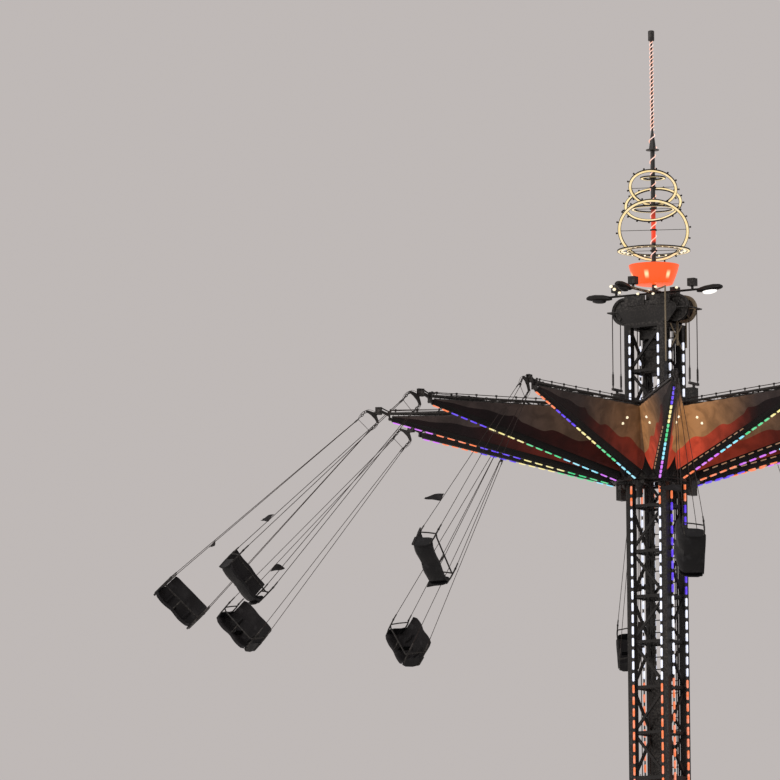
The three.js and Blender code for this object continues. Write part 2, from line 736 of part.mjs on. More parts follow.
// The folded canopy: one skin under all arms, from each keel up to the edge beams and valleys
function addCanopy() {
  const rise = 40;
  const stripHalf = 48;
  const rimOut = 25;
  const tipX = TIP_X - 60;
  const rootX = KEEL_ROOT.x + 42;
  const rimZ = TIP_Z - EDGE_BEAM / 2 - rise - SEAT_GAP;
  const keelUnder = KEEL / 2 + 2 + rise + SEAT_GAP;
  const valleyRadius = 2026;
  const corners = [];
  const faces = [];
  const perArm = 8;
  for (let arm = 0; arm < ARMS; arm++) {
    const turn = radians(FIRST_ARM + arm * 30 - 90);
    const at = (x, y, z) => corners.push(point(x, y, z).applyAxisAngle(UP, turn));
    for (const side of [1, -1]) {
      at(tipX, side * (armHalfWidth(tipX) + rimOut), rimZ);
      at(tipX, side * stripHalf, keelHeight(tipX) - keelUnder);
      at(rootX, side * stripHalf, keelHeight(rootX) - keelUnder);
    }
    const half = Math.PI / ARMS;
    at(valleyRadius * Math.cos(half), valleyRadius * Math.sin(half), rimZ);
    at((rootX + 6) * Math.cos(half), (rootX + 6) * Math.sin(half), keelHeight(rootX) - keelUnder);
    const [topL, botL, rootL, topR, botR, rootR, valley, foot] = [...Array(perArm).keys()].map(
      (corner) => corner + arm * perArm,
    );
    const before = ((arm + ARMS - 1) % ARMS) * perArm;
    const lastValley = before + perArm - 2;
    const lastFoot = before + perArm - 1;
    faces.push([rootL, botL, botR], [rootL, botR, rootR]);
    faces.push([topL, botL, valley], [botL, rootL, valley], [rootL, foot, valley]);
    faces.push([topR, lastValley, botR], [botR, lastValley, rootR], [rootR, lastValley, lastFoot]);
  }
  addPiece(ride, "canopy", skin(corners, faces, rise), FABRIC);
}

addTower();
addBase();
addCableColumn();
addHead();
addSheaves();
addHoistRopes();
addFloodlights();
addCrown();
addCarriage();
addHub();
addArms();
addCanopy();

export default ride;
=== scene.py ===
"""Looks of a tower chair swing ride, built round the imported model.

Metres, +Z up, the ground at 0, the tower's faces square to X and Y.
"""
import math

import bpy
from mathutils import Matrix, Vector


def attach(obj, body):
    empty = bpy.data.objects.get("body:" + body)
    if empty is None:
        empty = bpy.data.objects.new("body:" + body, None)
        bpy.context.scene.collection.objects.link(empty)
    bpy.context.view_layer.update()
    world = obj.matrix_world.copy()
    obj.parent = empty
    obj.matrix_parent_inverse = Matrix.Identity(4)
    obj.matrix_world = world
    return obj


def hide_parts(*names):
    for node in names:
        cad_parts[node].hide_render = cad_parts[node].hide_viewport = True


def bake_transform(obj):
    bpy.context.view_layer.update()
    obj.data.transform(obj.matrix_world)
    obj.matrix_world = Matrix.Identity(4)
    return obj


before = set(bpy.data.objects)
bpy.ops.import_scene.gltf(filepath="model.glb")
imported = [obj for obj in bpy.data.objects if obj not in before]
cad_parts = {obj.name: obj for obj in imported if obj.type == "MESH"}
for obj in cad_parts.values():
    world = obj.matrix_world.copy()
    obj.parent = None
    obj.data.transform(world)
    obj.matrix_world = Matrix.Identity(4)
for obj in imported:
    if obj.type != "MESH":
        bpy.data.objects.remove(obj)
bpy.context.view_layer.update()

# Sizes that the construction shares with its looks
ARMS = 12
FIRST_ARM = math.radians(2.8)
ARM_STEP = math.tau / ARMS
TOWER_HALF = 0.55
LATTICE_BOTTOM = 0.548
BAY = 1.104
BAYS = 23
LATTICE_TOP = LATTICE_BOTTOM + BAYS * BAY
TIP_X = 6.48
TIP_Z = 23.83
TIP_HALF = 0.05
VALLEY_X = 1.989
VALLEY_HALF = 0.496
ROOT_X = 1.13
STAR_BOTTOM = 22.15
KEEL_ROOT_Z = STAR_BOTTOM + 0.01
KEEL_TIP_Z = TIP_Z - 0.13
KEEL_HALF = 0.035
HEM_DROP = 0.077
PIVOT = Vector((6.76, 0, 23.9))
SWING_OUT = math.radians(46)
SHEAVE_X = 0.72
SHEAVE_Z = 26.35
SHEAVE_R = 0.34
ROPE_X = SHEAVE_X + SHEAVE_R + 0.006
ROPE_Y = 0.2
EQUALISER_TOP = 24.5
HEAD_TOP = 26.75
LAMP_Z = 26.78
LAMP_IN = 1.2
LAMP_OUT = 1.88
BOWL_BOTTOM = 26.985
DISC_BOTTOM = 30.31
MAST_R = 0.0555
MAST_TOP = 33.3
RINGS = (
    ("crown_ring_low", 0.895, 27.83),
    ("crown_ring_middle", 0.54, 28.865),
    ("crown_ring_top", 0.315, 29.63),
)
HOOPS = (
    ("crown_hoop_low", 0.876, 28.34, 51, 204),
    ("crown_hoop_middle", 0.715, 28.97, 44, 20),
    ("crown_hoop_top", 0.602, 29.39, 39, 200),
)
BAND_DEPTH = 0.08
BAND_HEIGHT = 0.034
LINK_X = 0.195
ROPE_TOP = -0.505
CHAIR_HALF = 0.6
CHAIR_POST = CHAIR_HALF - 0.02
ROPE_END = -6.45
SEAT_Z = -7.0

# The tower's light strips: the dashes, then for two kinds of face how far in from the corner and off
# the face a strip stands, and the height of its first dash
LIGHT_PITCH = 0.285
LIGHT_DASH = 0.2
STRIP_SEATS = ((0.157, 0.005, 1.0), (0.21, 0.046, 1.135))

# The keel lights: their colours in order, and how far along each arm has moved in that order
KEEL_COLOURS = ("purple", "orange", "blue", "yellow", "green", "cyan")
COLOUR_STARTS = (4, 8, 10, 12, 16, 16, 20, 21, 23, 2, 0, 6)

# How strong the painted glow is on the left and right panel of each arm, brightest where warm light would
# fall
PAINTED_PANEL_GLOWS = (
    (0.10, 0.20), (0.85, 0.85), (1.00, 0.60), (0.35, 0.20), (0.30, 0.50), (0.80, 0.90),
    (1.00, 0.70), (0.50, 0.30), (0.30, 0.50), (0.70, 0.60), (0.30, 0.20), (0.12, 0.05),
)


# Places: shifts and turns

def at(x, y, z):
    return Matrix.Translation((x, y, z))


def turned_by(angle, axis):
    return Matrix.Rotation(angle, 4, axis)


QUARTERS = [turned_by(side * math.pi / 2, "Z") for side in range(4)]
ARM_PLACES = [turned_by(FIRST_ARM + arm * ARM_STEP - math.pi / 2, "Z") for arm in range(ARMS)]
UPRIGHT = turned_by(math.pi / 2, "X")


# Shapes: corners and faces gathered for one piece, each face with the number of its finish

class Shape:
    def __init__(self):
        self.corners = []
        self.faces = []
        self.finishes = []

    def add(self, part, finish=0, place=None):
        corners, faces = part
        start = len(self.corners)
        for corner in corners:
            spot = Vector(corner)
            self.corners.append(place @ spot if place else spot)
        for face in faces:
            self.faces.append([start + number for number in face])
            self.finishes.append(finish)

    def repeated(self, places):
        """This shape once in each place."""
        whole = Shape()
        for place in places:
            whole.add((self.corners, self.faces), place=place)
        whole.finishes = self.finishes * len(places)
        return whole


def joined(rows, closed=False):
    """Rings of corners joined one to the next, with a cap on each end unless the rings close up."""
    sides = len(rows[0])
    corners = [corner for row in rows for corner in row]
    faces = []
    for ring in range(len(rows) if closed else len(rows) - 1):
        low, high = ring * sides, (ring + 1) % len(rows) * sides
        for step in range(sides):
            ahead = (step + 1) % sides
            faces.append((low + step, low + ahead, high + ahead, high + step))
    if not closed:
        faces.append(tuple(reversed(range(sides))))
        faces.append(tuple(range(len(corners) - sides, len(corners))))
    return corners, faces


def around(sides):
    """The cosine and sine of each corner of a ring."""
    angles = [math.tau * step / sides for step in range(sides)]
    return [(math.cos(angle), math.sin(angle)) for angle in angles]


def plate(outline, thickness):
    """A flat outline in X and Y with its thickness along Z."""
    return joined([[(x, y, z) for x, y in outline] for z in (-thickness / 2, thickness / 2)])


def block(low, high):
    (x0, y0, z0), (x1, y1, z1) = low, high
    outline = ((x0, y0), (x1, y0), (x1, y1), (x0, y1))
    return joined([[(x, y, z) for x, y in outline] for z in (z0, z1)])


def centred_block(centre, size):
    low = [c - s / 2 for c, s in zip(centre, size)]
    high = [c + s / 2 for c, s in zip(centre, size)]
    return block(low, high)


def bar(start, end, width, depth=None, facing=(0, 0, 1)):
    """A straight bar, square unless it has a depth, which leans to the facing direction."""
    depth = depth or width
    start, facing = Vector(start), Vector(facing)
    run = Vector(end) - start
    z_axis = run.normalized()
    if abs(z_axis.dot(facing)) > 0.999:
        facing = Vector((0, 1, 0))
    y_axis = (facing - z_axis * facing.dot(z_axis)).normalized()
    x_axis = y_axis.cross(z_axis)
    place = Matrix.Translation(start) @ Matrix((x_axis, y_axis, z_axis)).transposed().to_4x4()
    corners, faces = block((-width / 2, -depth / 2, 0), (width / 2, depth / 2, run.length))
    return [place @ Vector(corner) for corner in corners], faces


def tube(path, radius, sides=8, closed=False):
    """A round tube along a path; radius is one number or one for each point."""
    path = [Vector(spot) for spot in path]
    count = len(path)
    radii = radius if isinstance(radius, (list, tuple)) else [radius] * count
    rows = []
    side = None
    for number, spot in enumerate(path):
        before = path[(number - 1) % count] if closed or number else spot
        after = path[(number + 1) % count] if closed or number < count - 1 else spot
        run = (after - before).normalized()
        if side is None:
            side = run.orthogonal().normalized()
        side = (side - run * side.dot(run)).normalized()
        other = run.cross(side)
        rows.append([spot + (side * c + other * s) * radii[number] for c, s in around(sides)])
    return joined(rows, closed)


def capsule(start, end, radius):
    start, end = Vector(start), Vector(end)
    run = (end - start).normalized() * radius * 0.6
    return tube([start, start + run, end - run, end], [radius * 0.5, radius, radius, radius * 0.5], 6)


def turned(profile, sides=32):
    """A shape turned about Z from (radius, height) pairs, open where the profile is open."""
    corners, faces, rows = [], [], []
    for radius, height in profile:
        start = len(corners)
        if radius < 1e-6:
            rows.append([start] * sides)
            corners.append((0, 0, height))
        else:
            rows.append(range(start, start + sides))
            corners += [(radius * c, radius * s, height) for c, s in around(sides)]
    for low, high in zip(rows, rows[1:]):
        for step in range(sides):
            ahead = (step + 1) % sides
            face = tuple(dict.fromkeys((low[step], low[ahead], high[ahead], high[step])))
            if len(face) > 2:
                faces.append(face)
    return corners, faces


def sleeve(inside, outside, half, sides=24):
    """A ring about Z with a square section."""
    section = [(inside, -half), (outside, -half), (outside, half), (inside, half), (inside, -half)]
    return turned(section, sides)


def band(radius, width, thickness, sides):
    """A flat strip bent into a ring about Z."""
    inside, half = radius - thickness, width / 2
    section = ((inside, -half), (inside, half), (radius, half), (radius, -half))
    return joined([[(r * c, r * s, z) for r, z in section] for c, s in around(sides)], closed=True)


def link(name, data, place=None):
    """Puts an object into the scene, in its place."""
    thing = bpy.data.objects.new(name, data)
    bpy.context.scene.collection.objects.link(thing)
    if place:
        thing.matrix_world = place
    return thing


def make_mesh(name, shape, finishes, smooth=35):
    mesh = bpy.data.meshes.new(name)
    mesh.from_pydata(shape.corners, [], shape.faces)
    for finish in finishes:
        mesh.materials.append(finish)
    mesh.polygons.foreach_set("material_index", shape.finishes)
    mesh.validate()
    mesh.update()
    mesh.shade_smooth()
    mesh.set_sharp_from_angle(angle=math.radians(smooth))
    return mesh


def settle(piece, body, stands_for=()):
    """Says which body a piece rides on and the nodes that it stands for."""
    if body:
        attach(piece, body)
    if stands_for:
        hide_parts(*stands_for)
    return piece


def make_piece(name, shape, finishes, body, stands_for=(), bevel=0.0, smooth=35):
    """One piece of the ride: a mesh with its finishes, riding on its body."""
    piece = link(name, make_mesh(name, shape, finishes, smooth))
    if bevel:
        edge = piece.modifiers.new("Rounded edges", "BEVEL")
        edge.width = bevel
        edge.segments = 2
        edge.limit_method = "ANGLE"
        edge.angle_limit = math.radians(40)
    return settle(piece, body, stands_for)


# Nodes: the node tree of one finish or of one shared effect

class Nodes:
    def __init__(self, tree):
        self.nodes = tree.nodes
        self.links = tree.links

    def fill(self, node, values):
        """Gives each named socket its value, or links an output to it."""
        for label, value in dict(values).items():
            socket = node.inputs[label]
            if isinstance(value, bpy.types.NodeSocket):
                self.links.new(value, socket)
            elif socket.type == "RGBA":
                socket.default_value = (*value, 1)
            else:
                socket.default_value = value
        return node

    def add(self, kind, values=(), **settings):
        node = self.nodes.new("ShaderNode" + kind)
        for name, value in settings.items():
            setattr(node, name, value)
        return self.fill(node, values)

    def where(self):
        return self.add("TexCoord").outputs["Object"]

    def split(self, vector):
        return self.add("SeparateXYZ", {"Vector": vector}).outputs

    def noise(self, **values):
        return self.add("TexNoise", values).outputs["Fac"]

    def wave(self, direction, **values):
        return self.add("TexWave", values, bands_direction=direction).outputs["Fac"]

    def maths(self, operation, *values, use_clamp=False):
        """The result of one operation on its values."""
        return self.add("Math", enumerate(values), operation=operation, use_clamp=use_clamp).outputs[0]

    def times(self, first, second, **settings):
        return self.maths("MULTIPLY", first, second, **settings)

    def ramp(self, value, low, high, low_value=0.0, high_value=1.0):
        """A smooth step from one value to another."""
        limits = {"From Min": low, "From Max": high, "To Min": low_value, "To Max": high_value}
        return self.add("MapRange", {"Value": value, **limits}, interpolation_type="SMOOTHSTEP").outputs[0]

    def mix(self, factor, first, second, blend_type="MIX"):
        values = {"Factor": factor, "A": first, "B": second}
        return self.add("Mix", values, data_type="RGBA", blend_type=blend_type).outputs["Result"]

    def effect(self, group, **values):
        """A shared effect's results; an underscore in a name stands for a space."""
        named = {label.replace("_", " "): value for label, value in values.items()}
        return self.add("Group", named, node_tree=group).outputs

    def bump(self, height, strength, distance):
        values = {"Height": height, "Strength": strength, "Distance": distance}
        return self.add("Bump", values).outputs["Normal"]

    def surface(self, values):
        """Fills the sockets of the material's own shader."""
        self.fill(self.nodes["Principled BSDF"], values)


# Effects that the finishes draw on, as node groups

def new_group(name, inputs, outputs):
    """A shared effect's group, its nodes, its inputs and the node that takes its results."""
    group = bpy.data.node_groups.new(name, "ShaderNodeTree")
    for label, value in inputs.items():
        colour = isinstance(value, tuple)
        kind = "NodeSocketColor" if colour else "NodeSocketFloat"
        socket = group.interface.new_socket(label, in_out="INPUT", socket_type=kind)
        socket.default_value = (*value, 1) if colour else value
    for label in outputs:
        kind = "NodeSocketColor" if label == "Color" else "NodeSocketFloat"
        group.interface.new_socket(label, in_out="OUTPUT", socket_type=kind)
    start, end = group.nodes.new("NodeGroupInput"), group.nodes.new("NodeGroupOutput")
    return group, Nodes(group), start.outputs, end


def weathering_group():
    """Paint that has dulled in patches, run down in streaks and worn through on its edges."""
    inputs = {
        "Paint": (0.1, 0.1, 0.1), "Grime": (0.02, 0.018, 0.016), "Bare": (0.12, 0.11, 0.10),
        "Patch Scale": 1.5, "Grime Amount": 0.5, "Wear Amount": 0.5, "Gloss": 0.4,
    }
    group, nodes, start, end = new_group("Weathering", inputs, ("Color", "Roughness", "Height"))
    where = nodes.where()
    patches = nodes.noise(Vector=where, Scale=start["Patch Scale"], Detail=5)
    stretched = nodes.add("Mapping", {"Vector": where, "Scale": (14, 14, 0.9)}).outputs["Vector"]
    streaks = nodes.noise(Vector=stretched, Detail=3)
    spread = nodes.ramp(nodes.times(patches, streaks), 0.12, 0.46)
    grime = nodes.times(spread, start["Grime Amount"])
    dirty = nodes.mix(grime, start["Paint"], start["Grime"])
    edges = nodes.ramp(nodes.add("NewGeometry").outputs["Pointiness"], 0.52, 0.60)
    chips = nodes.noise(Vector=where, Scale=22, Detail=4)
    worn = nodes.times(edges, nodes.ramp(chips, 0.45, 0.62))
    wear = nodes.times(worn, start["Wear Amount"], use_clamp=True)
    nodes.fill(end, {
        "Color": nodes.mix(wear, dirty, start["Bare"]),
        "Roughness": nodes.maths("MULTIPLY_ADD", grime, 0.25, start["Gloss"]),
        "Height": chips,
    })
    return group


def weave_group():
    """The crossed threads of coated cloth, with soft creases, whose Shade is painted shade in the creases."""
    inputs = {"Threads": 400.0, "Crease Scale": 3.0}
    group, nodes, start, end = new_group("Weave", inputs, ("Height", "Shade"))
    where = nodes.where()
    warp, weft = [nodes.wave(run, Vector=where, Scale=start["Threads"], Distortion=0.4) for run in "XZ"]
    creases = nodes.noise(Vector=where, Scale=start["Crease Scale"], Detail=6, Distortion=0.6)
    height = nodes.maths("MULTIPLY_ADD", nodes.times(warp, weft), 0.12, creases)
    # Shade is the creases as painted shade and painted highlight
    nodes.fill(end, {"Height": height, "Shade": creases})
    return group


def strand_group():
    """The lay of a stranded wire rope."""
    group, nodes, start, end = new_group("Rope lay", {"Lay": 60.0}, ("Height",))
    nodes.fill(end, {"Height": nodes.wave("DIAGONAL", Vector=nodes.where(), Scale=start["Lay"])})
    return group


WEATHERING = weathering_group()
WEAVE = weave_group()
LAY = strand_group()


# Finishes

def new_finish(name):
    finish = bpy.data.materials.new(name)
    finish.use_nodes = True
    return finish, Nodes(finish.node_tree)


def painted(name, paint, gloss=0.5, grime=0.5, metal=0.0):
    """Painted steel: dulled, streaked and worn on its edges."""
    finish, nodes = new_finish(name)
    age = nodes.effect(WEATHERING, Paint=paint, Grime_Amount=grime, Wear_Amount=0.3, Gloss=gloss)
    nodes.surface({
        "Base Color": age["Color"],
        "Roughness": age["Roughness"],
        "Metallic": metal,
        "Specular IOR Level": 0.2,
        "Coat Weight": 0.03,
        "Coat Roughness": 0.3,
        "Normal": nodes.bump(age["Height"], 0.08, 0.001),
    })
    return finish


def wire_rope(name, colour):
    finish, nodes = new_finish(name)
    height = nodes.effect(LAY, Lay=90.0)["Height"]
    nodes.surface({
        # The base colour is darker in the grooves of the lay: painted shade between the strands
        "Base Color": nodes.mix(1, colour, nodes.ramp(height, 0.0, 1.0, 0.5, 1.0), "MULTIPLY"),
        "Metallic": 0.8,
        "Roughness": 0.5,
        "Normal": nodes.bump(height, 0.4, 0.002),
    })
    return finish


def glowing(name, colour, strength, core):
    """A lit lens: deep coloured, with paler beads along it."""
    finish, nodes = new_finish(name)
    beads = nodes.noise(Vector=nodes.where(), Scale=9)
    nodes.surface({
        "Emission Color": nodes.mix(nodes.ramp(beads, 0.4, 0.62, 0.0, core), colour, (1, 1, 1)),
        "Emission Strength": strength,
        "Base Color": [c * 0.25 for c in colour],
        "Roughness": 0.25,
    })
    return finish


def bowl_plastic():
    """Translucent orange plastic with a lamp behind it every sixth of a turn."""
    finish, nodes = new_finish("Orange bowl")
    lamps, first_lamp, lamp_rise = 6, math.radians(9), 0.205
    spot = nodes.split(nodes.where())
    angle = nodes.maths("ARCTAN2", spot["Y"], spot["X"])
    round_it = nodes.maths("COSINE", nodes.maths("MULTIPLY_ADD", angle, lamps, -lamps * first_lamp))
    above = nodes.maths("ABSOLUTE", nodes.maths("SUBTRACT", spot["Z"], BOWL_BOTTOM + lamp_rise))
    hot = nodes.times(nodes.ramp(round_it, -0.7, -1.0), nodes.ramp(above, 0.13, 0.0))
    nodes.surface({
        "Emission Color": nodes.mix(hot, (1.0, 0.11, 0.018), (1.0, 0.92, 0.50)),
        "Emission Strength": 0.95,
        "Base Color": (0.25, 0.02, 0.005),
        "Roughness": 0.35,
    })
    return finish


def pipe_with_painted_glow():
    """The mast pipe: dark, with a painted red glow where it stands in the crown."""
    finish, nodes = new_finish("Mast pipe")
    age = nodes.effect(WEATHERING, Paint=(0.012, 0.011, 0.011), Grime_Amount=0.4, Gloss=0.4)
    height = nodes.split(nodes.where())["Z"]
    # Painted glow: red light from the crown painted onto the pipe between these heights
    lower_end, upper_end = nodes.ramp(height, 28.0, 28.1), nodes.ramp(height, 28.35, 29.05, 1.0, 0.0)
    nodes.surface({
        "Base Color": age["Color"],
        "Roughness": age["Roughness"],
        "Emission Color": nodes.mix(nodes.times(lower_end, upper_end), (0, 0, 0), (1.0, 0.055, 0.012)),
        "Emission Strength": 0.9,
    })
    return finish


def canopy_cloth():
    """Coated cloth: sand above, oxblood below, black along each keel, with painted warm light and a painted
    glow towards the hub.

    Of the map named panel, X runs from the arm's tip to the hub and Y from the rim to the keel. Of the
    map named pocket, X is 0 in the black pocket round the keel and Y is how strong the painted glow is.
    """
    finish, nodes = new_finish("Canopy cloth")
    marks = nodes.add("UVMap", uv_map="panel").outputs["UV"]
    panel = nodes.split(marks)
    pocket = nodes.split(nodes.add("UVMap", uv_map="pocket").outputs["UV"])
    cloth = nodes.effect(WEAVE, Threads=160.0, Crease_Scale=2.6)
    edge = nodes.wave("X", Vector=marks, Scale=1.6, Distortion=2.4, Detail=1)
    wavy = nodes.maths("MULTIPLY_ADD", edge, 0.09, panel["Y"])
    lowered = nodes.maths("SUBTRACT", wavy, nodes.ramp(panel["X"], 0.455, 0.50, 0.0, 0.19))
    border = nodes.ramp(lowered, 0.48, 0.49)
    # Painted light: the cloth's colour brightens towards the hub, as if warm lamps lit it there
    lit = nodes.ramp(panel["X"], 0.35, 0.97)
    # Painted glow: where and how strongly the cloth itself glows, though the cloth is no lamp
    lamps = nodes.times(lit, pocket["Y"])
    # The sand and the red are each brightened by that painted light
    sand = nodes.mix(lit, (0.052, 0.038, 0.036), (0.135, 0.086, 0.060))
    red = nodes.mix(lamps, (0.007, 0.002, 0.003), (0.06, 0.008, 0.006))
    keel = nodes.ramp(pocket["X"], 0.40, 0.36)
    foot = nodes.ramp(nodes.split(nodes.where())["Z"], STAR_BOTTOM + 0.20, STAR_BOTTOM + 0.13)
    dark = nodes.maths("MAXIMUM", keel, foot)
    hemmed = nodes.mix(dark, nodes.mix(border, sand, red), (0.005, 0.004, 0.004))
    # Painted shade in the creases and a painted highlight on their ridges, on both the colour and the glow
    crease_shade = nodes.ramp(cloth["Shade"], 0.3, 0.7, 0.65, 1.15)
    # The colour of the painted glow, over the sand and over the red
    warm = nodes.mix(border, (0.34, 0.155, 0.055), (0.54, 0.062, 0.028))
    painted_glow_colour = nodes.mix(dark, warm, (0, 0, 0))
    nodes.surface({
        "Base Color": nodes.mix(1, hemmed, crease_shade, "MULTIPLY"),
        # The cloth's emission is the painted glow
        "Emission Color": nodes.mix(nodes.times(lamps, crease_shade), (0, 0, 0), painted_glow_colour),
        "Emission Strength": 1.0,
        "Roughness": 0.7,
        "Specular IOR Level": 0.2,
        "Sheen Weight": 0.04,
        "Normal": nodes.bump(cloth["Height"], 0.5, 0.02),
    })
    return finish


def moulded_plastic(name, colour, gloss):
    """Moulded plastic with a fine grain and rubbed, dusty patches."""
    finish, nodes = new_finish(name)
    where = nodes.where()
    rub = nodes.noise(Vector=where, Scale=5, Detail=6)
    dusty = [c * 1.8 + 0.01 for c in colour]
    nodes.surface({
        "Base Color": nodes.mix(nodes.ramp(rub, 0.5, 0.72), colour, dusty),
        "Roughness": nodes.ramp(rub, 0.35, 0.7, gloss, gloss + 0.25),
        "Specular IOR Level": 0.2,
        "Normal": nodes.bump(nodes.noise(Vector=where, Scale=180), 0.12, 0.001),
    })
    return finish


def plain_ground():
    finish, nodes = new_finish("Pale floor")
    nodes.surface({"Base Color": (0.80, 0.78, 0.76), "Roughness": 0.85})
    return finish


TOWER_PAINT = painted("Tower paint", (0.010, 0.009, 0.009))
MACHINE_PAINT = painted("Machine paint", (0.008, 0.007, 0.007), 0.45, 0.4)
ARM_PAINT = painted("Arm paint", (0.012, 0.010, 0.010))
# Painted light: a cream copy of the dark steel paint, for the parts that catch the warm light
PAINTED_LIGHT_CREAM = painted("Cream painted light", (0.26, 0.21, 0.14))
GALVANISED = painted("Galvanised fittings", (0.06, 0.055, 0.055), metal=0.5)
ROPE_WIRE = wire_rope("Wire rope", (0.045, 0.030, 0.026))
CHAIR_SHELL = moulded_plastic("Chair shell", (0.006, 0.006, 0.007), 0.45)
CHAIR_PAD = moulded_plastic("Chair seat", (0.009, 0.008, 0.009), 0.6)
CLOTH = canopy_cloth()
BOWL = bowl_plastic()
PIPE = pipe_with_painted_glow()
CREAM_LIT = glowing("Cream lit strip", (1.0, 0.78, 0.38), 0.9, 0.2)
BULB = glowing("Warm bulb", (1.0, 0.86, 0.55), 1.1, 0.5)
ROPE_LIGHT = glowing("Rope light", (1.0, 0.55, 0.42), 1.0, 0.5)
LAMP_LENS = glowing("Floodlight lens", (1.0, 0.97, 0.90), 1.3, 0.6)
DARK_LENS = moulded_plastic("Floodlight lens, unlit", (0.02, 0.02, 0.022), 0.2)
DIM_LIGHT = glowing("Dim warm lights", (0.55, 0.30, 0.16), 0.5, 0.1)
LIGHTS = {
    "white": glowing("White lights", (0.78, 0.82, 1.0), 1.1, 0.6),
    "blue": glowing("Blue lights", (0.13, 0.05, 1.0), 0.85, 0.08),
    "orange": glowing("Orange lights", (1.0, 0.22, 0.07), 0.95, 0.15),
    "purple": glowing("Purple lights", (0.70, 0.16, 1.0), 0.9, 0.15),
    "cyan": glowing("Cyan lights", (0.22, 0.80, 1.0), 0.95, 0.3),
    "green": glowing("Green lights", (0.06, 0.75, 0.28), 0.85, 0.15),
    "yellow": glowing("Yellow lights", (1.0, 0.88, 0.32), 0.9, 0.25),
}
LIGHT_NAMES = list(LIGHTS)
LIGHT_FINISHES = list(LIGHTS.values())


def refinish(node, finish):
    """Gives a construction piece its finish."""
    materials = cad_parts[node].data.materials
    materials.clear()
    materials.append(finish)


# The tower: lights up every corner post, guide tubes and ladder inside, bolts on the joints

def bay_height(level):
    return LATTICE_BOTTOM + level * BAY


def tower_light_colour(height, side):
    """White above the star, orange just below it, then white and blue, then orange and white by turns."""
    star_low, orange_low, blue_low, lower_top, stretch = 22.06, 21.57, 19.4, 17.27, 4.4
    if height > star_low:
        return "white"
    if height > orange_low:
        return "orange"
    if height > lower_top:
        return "blue" if side == 1 and height > blue_low else "white"
    return "white" if (lower_top - height) // stretch % 2 else "orange"


def add_tower_lights():
    """Two strips of coloured dashes up each face, on channels that stand off the lattice."""
    shape = Shape()
    channel = len(LIGHT_NAMES)
    foot, top = 0.9, LATTICE_TOP - 0.1
    channel_half, channel_thick, dash_radius = 0.03, 0.004, 0.029
    holder_half, holder_rise, holder_end = 0.02, 0.015, 0.02 - TOWER_HALF
    for side, place in enumerate(QUARTERS):
        inset, proud, first = STRIP_SEATS[side % 2]
        count = int((top - first) / LIGHT_PITCH)
        back = -TOWER_HALF - proud
        front = back - channel_thick
        for edge in (-1, 1):
            x = edge * (TOWER_HALF - inset)
            strip = block((x - channel_half, front, foot), (x + channel_half, back, top))
            shape.add(strip, channel, place)
            for level in range(1, BAYS):
                z = bay_height(level)
                low = (x - holder_half, back, z - holder_rise)
                high = (x + holder_half, holder_end, z + holder_rise)
                shape.add(block(low, high), channel, place)
            for number in range(count):
                low = first + number * LIGHT_PITCH
                colour = tower_light_colour(low + LIGHT_DASH / 2, side)
                dash = capsule((x, front, low), (x, front, low + LIGHT_DASH), dash_radius)
                shape.add(dash, LIGHT_NAMES.index(colour), place)
    make_piece("tower_lights", shape, LIGHT_FINISHES + [MACHINE_PAINT], "tower", smooth=50)


def add_tower_inside():
    """Guide tubes, a ladder and the falls of the hoist ropes inside the lattice."""
    shape = Shape()
    low, high = LATTICE_BOTTOM + 0.05, LATTICE_TOP - 0.1
    guide_foot = 17.3
    ladder_x, ladder_y, rung_pitch = 0.34, 0.36, 0.3
    uprights = (
        (-0.25, -0.03, guide_foot, 0.045), (-0.1, -0.03, guide_foot, 0.018), (0.2, 0.3, guide_foot, 0.03),
        (-ladder_x, ladder_y, low, 0.025), (ladder_x, ladder_y, low, 0.025),
    )
    for x, y, foot, radius in uprights:
        shape.add(tube([(x, y, foot), (x, y, high)], radius))
    for rung in range(int((high - low) / rung_pitch)):
        z = low + 0.2 + rung * rung_pitch
        shape.add(tube([(-ladder_x, ladder_y, z), (ladder_x, ladder_y, z)], 0.013, 6))
    for level in range(1, BAYS):
        z = bay_height(level)
        for place in QUARTERS:
            shape.add(bar((-0.4, -0.4, z), (-0.27, -0.27, z), 0.03), 0, place)
        for y in (ladder_y, -0.03):
            shape.add(bar((-0.43, y, z), (0.43, y, z), 0.035))
    make_piece("tower_ladder_and_guides", shape, [TOWER_PAINT], "tower")
    ropes = Shape()
    fall_x = SHEAVE_X - SHEAVE_R - 0.006
    for x in (-fall_x, fall_x):
        for y in (-ROPE_Y, ROPE_Y):
            ropes.add(tube([(x, y, LATTICE_BOTTOM + 0.02), (x, y, SHEAVE_Z)], 0.012, 6))
    make_piece("hoist_rope_falls", ropes, [ROPE_WIRE], "tower")


def add_joint_bolts():
    """Rows of nuts above and below the two joints of the tower's sections."""
    shape = Shape()
    nut = turned([(0, 0), (0.016, 0), (0.016, 0.02), (0, 0.02)], 6)
    joint_levels = (3, 13)
    pitch, face_y, rise = 0.14, -0.465, 0.07
    for level in joint_levels:
        for number in range(-3, 4):
            for up in (-1, 1):
                spot = at(number * pitch, face_y, bay_height(level) + up * rise)
                shape.add(nut, 0, spot @ turned_by(math.pi * (up < 0), "X"))
    make_piece("joint_bolts", shape.repeated(QUARTERS), [GALVANISED], "tower")


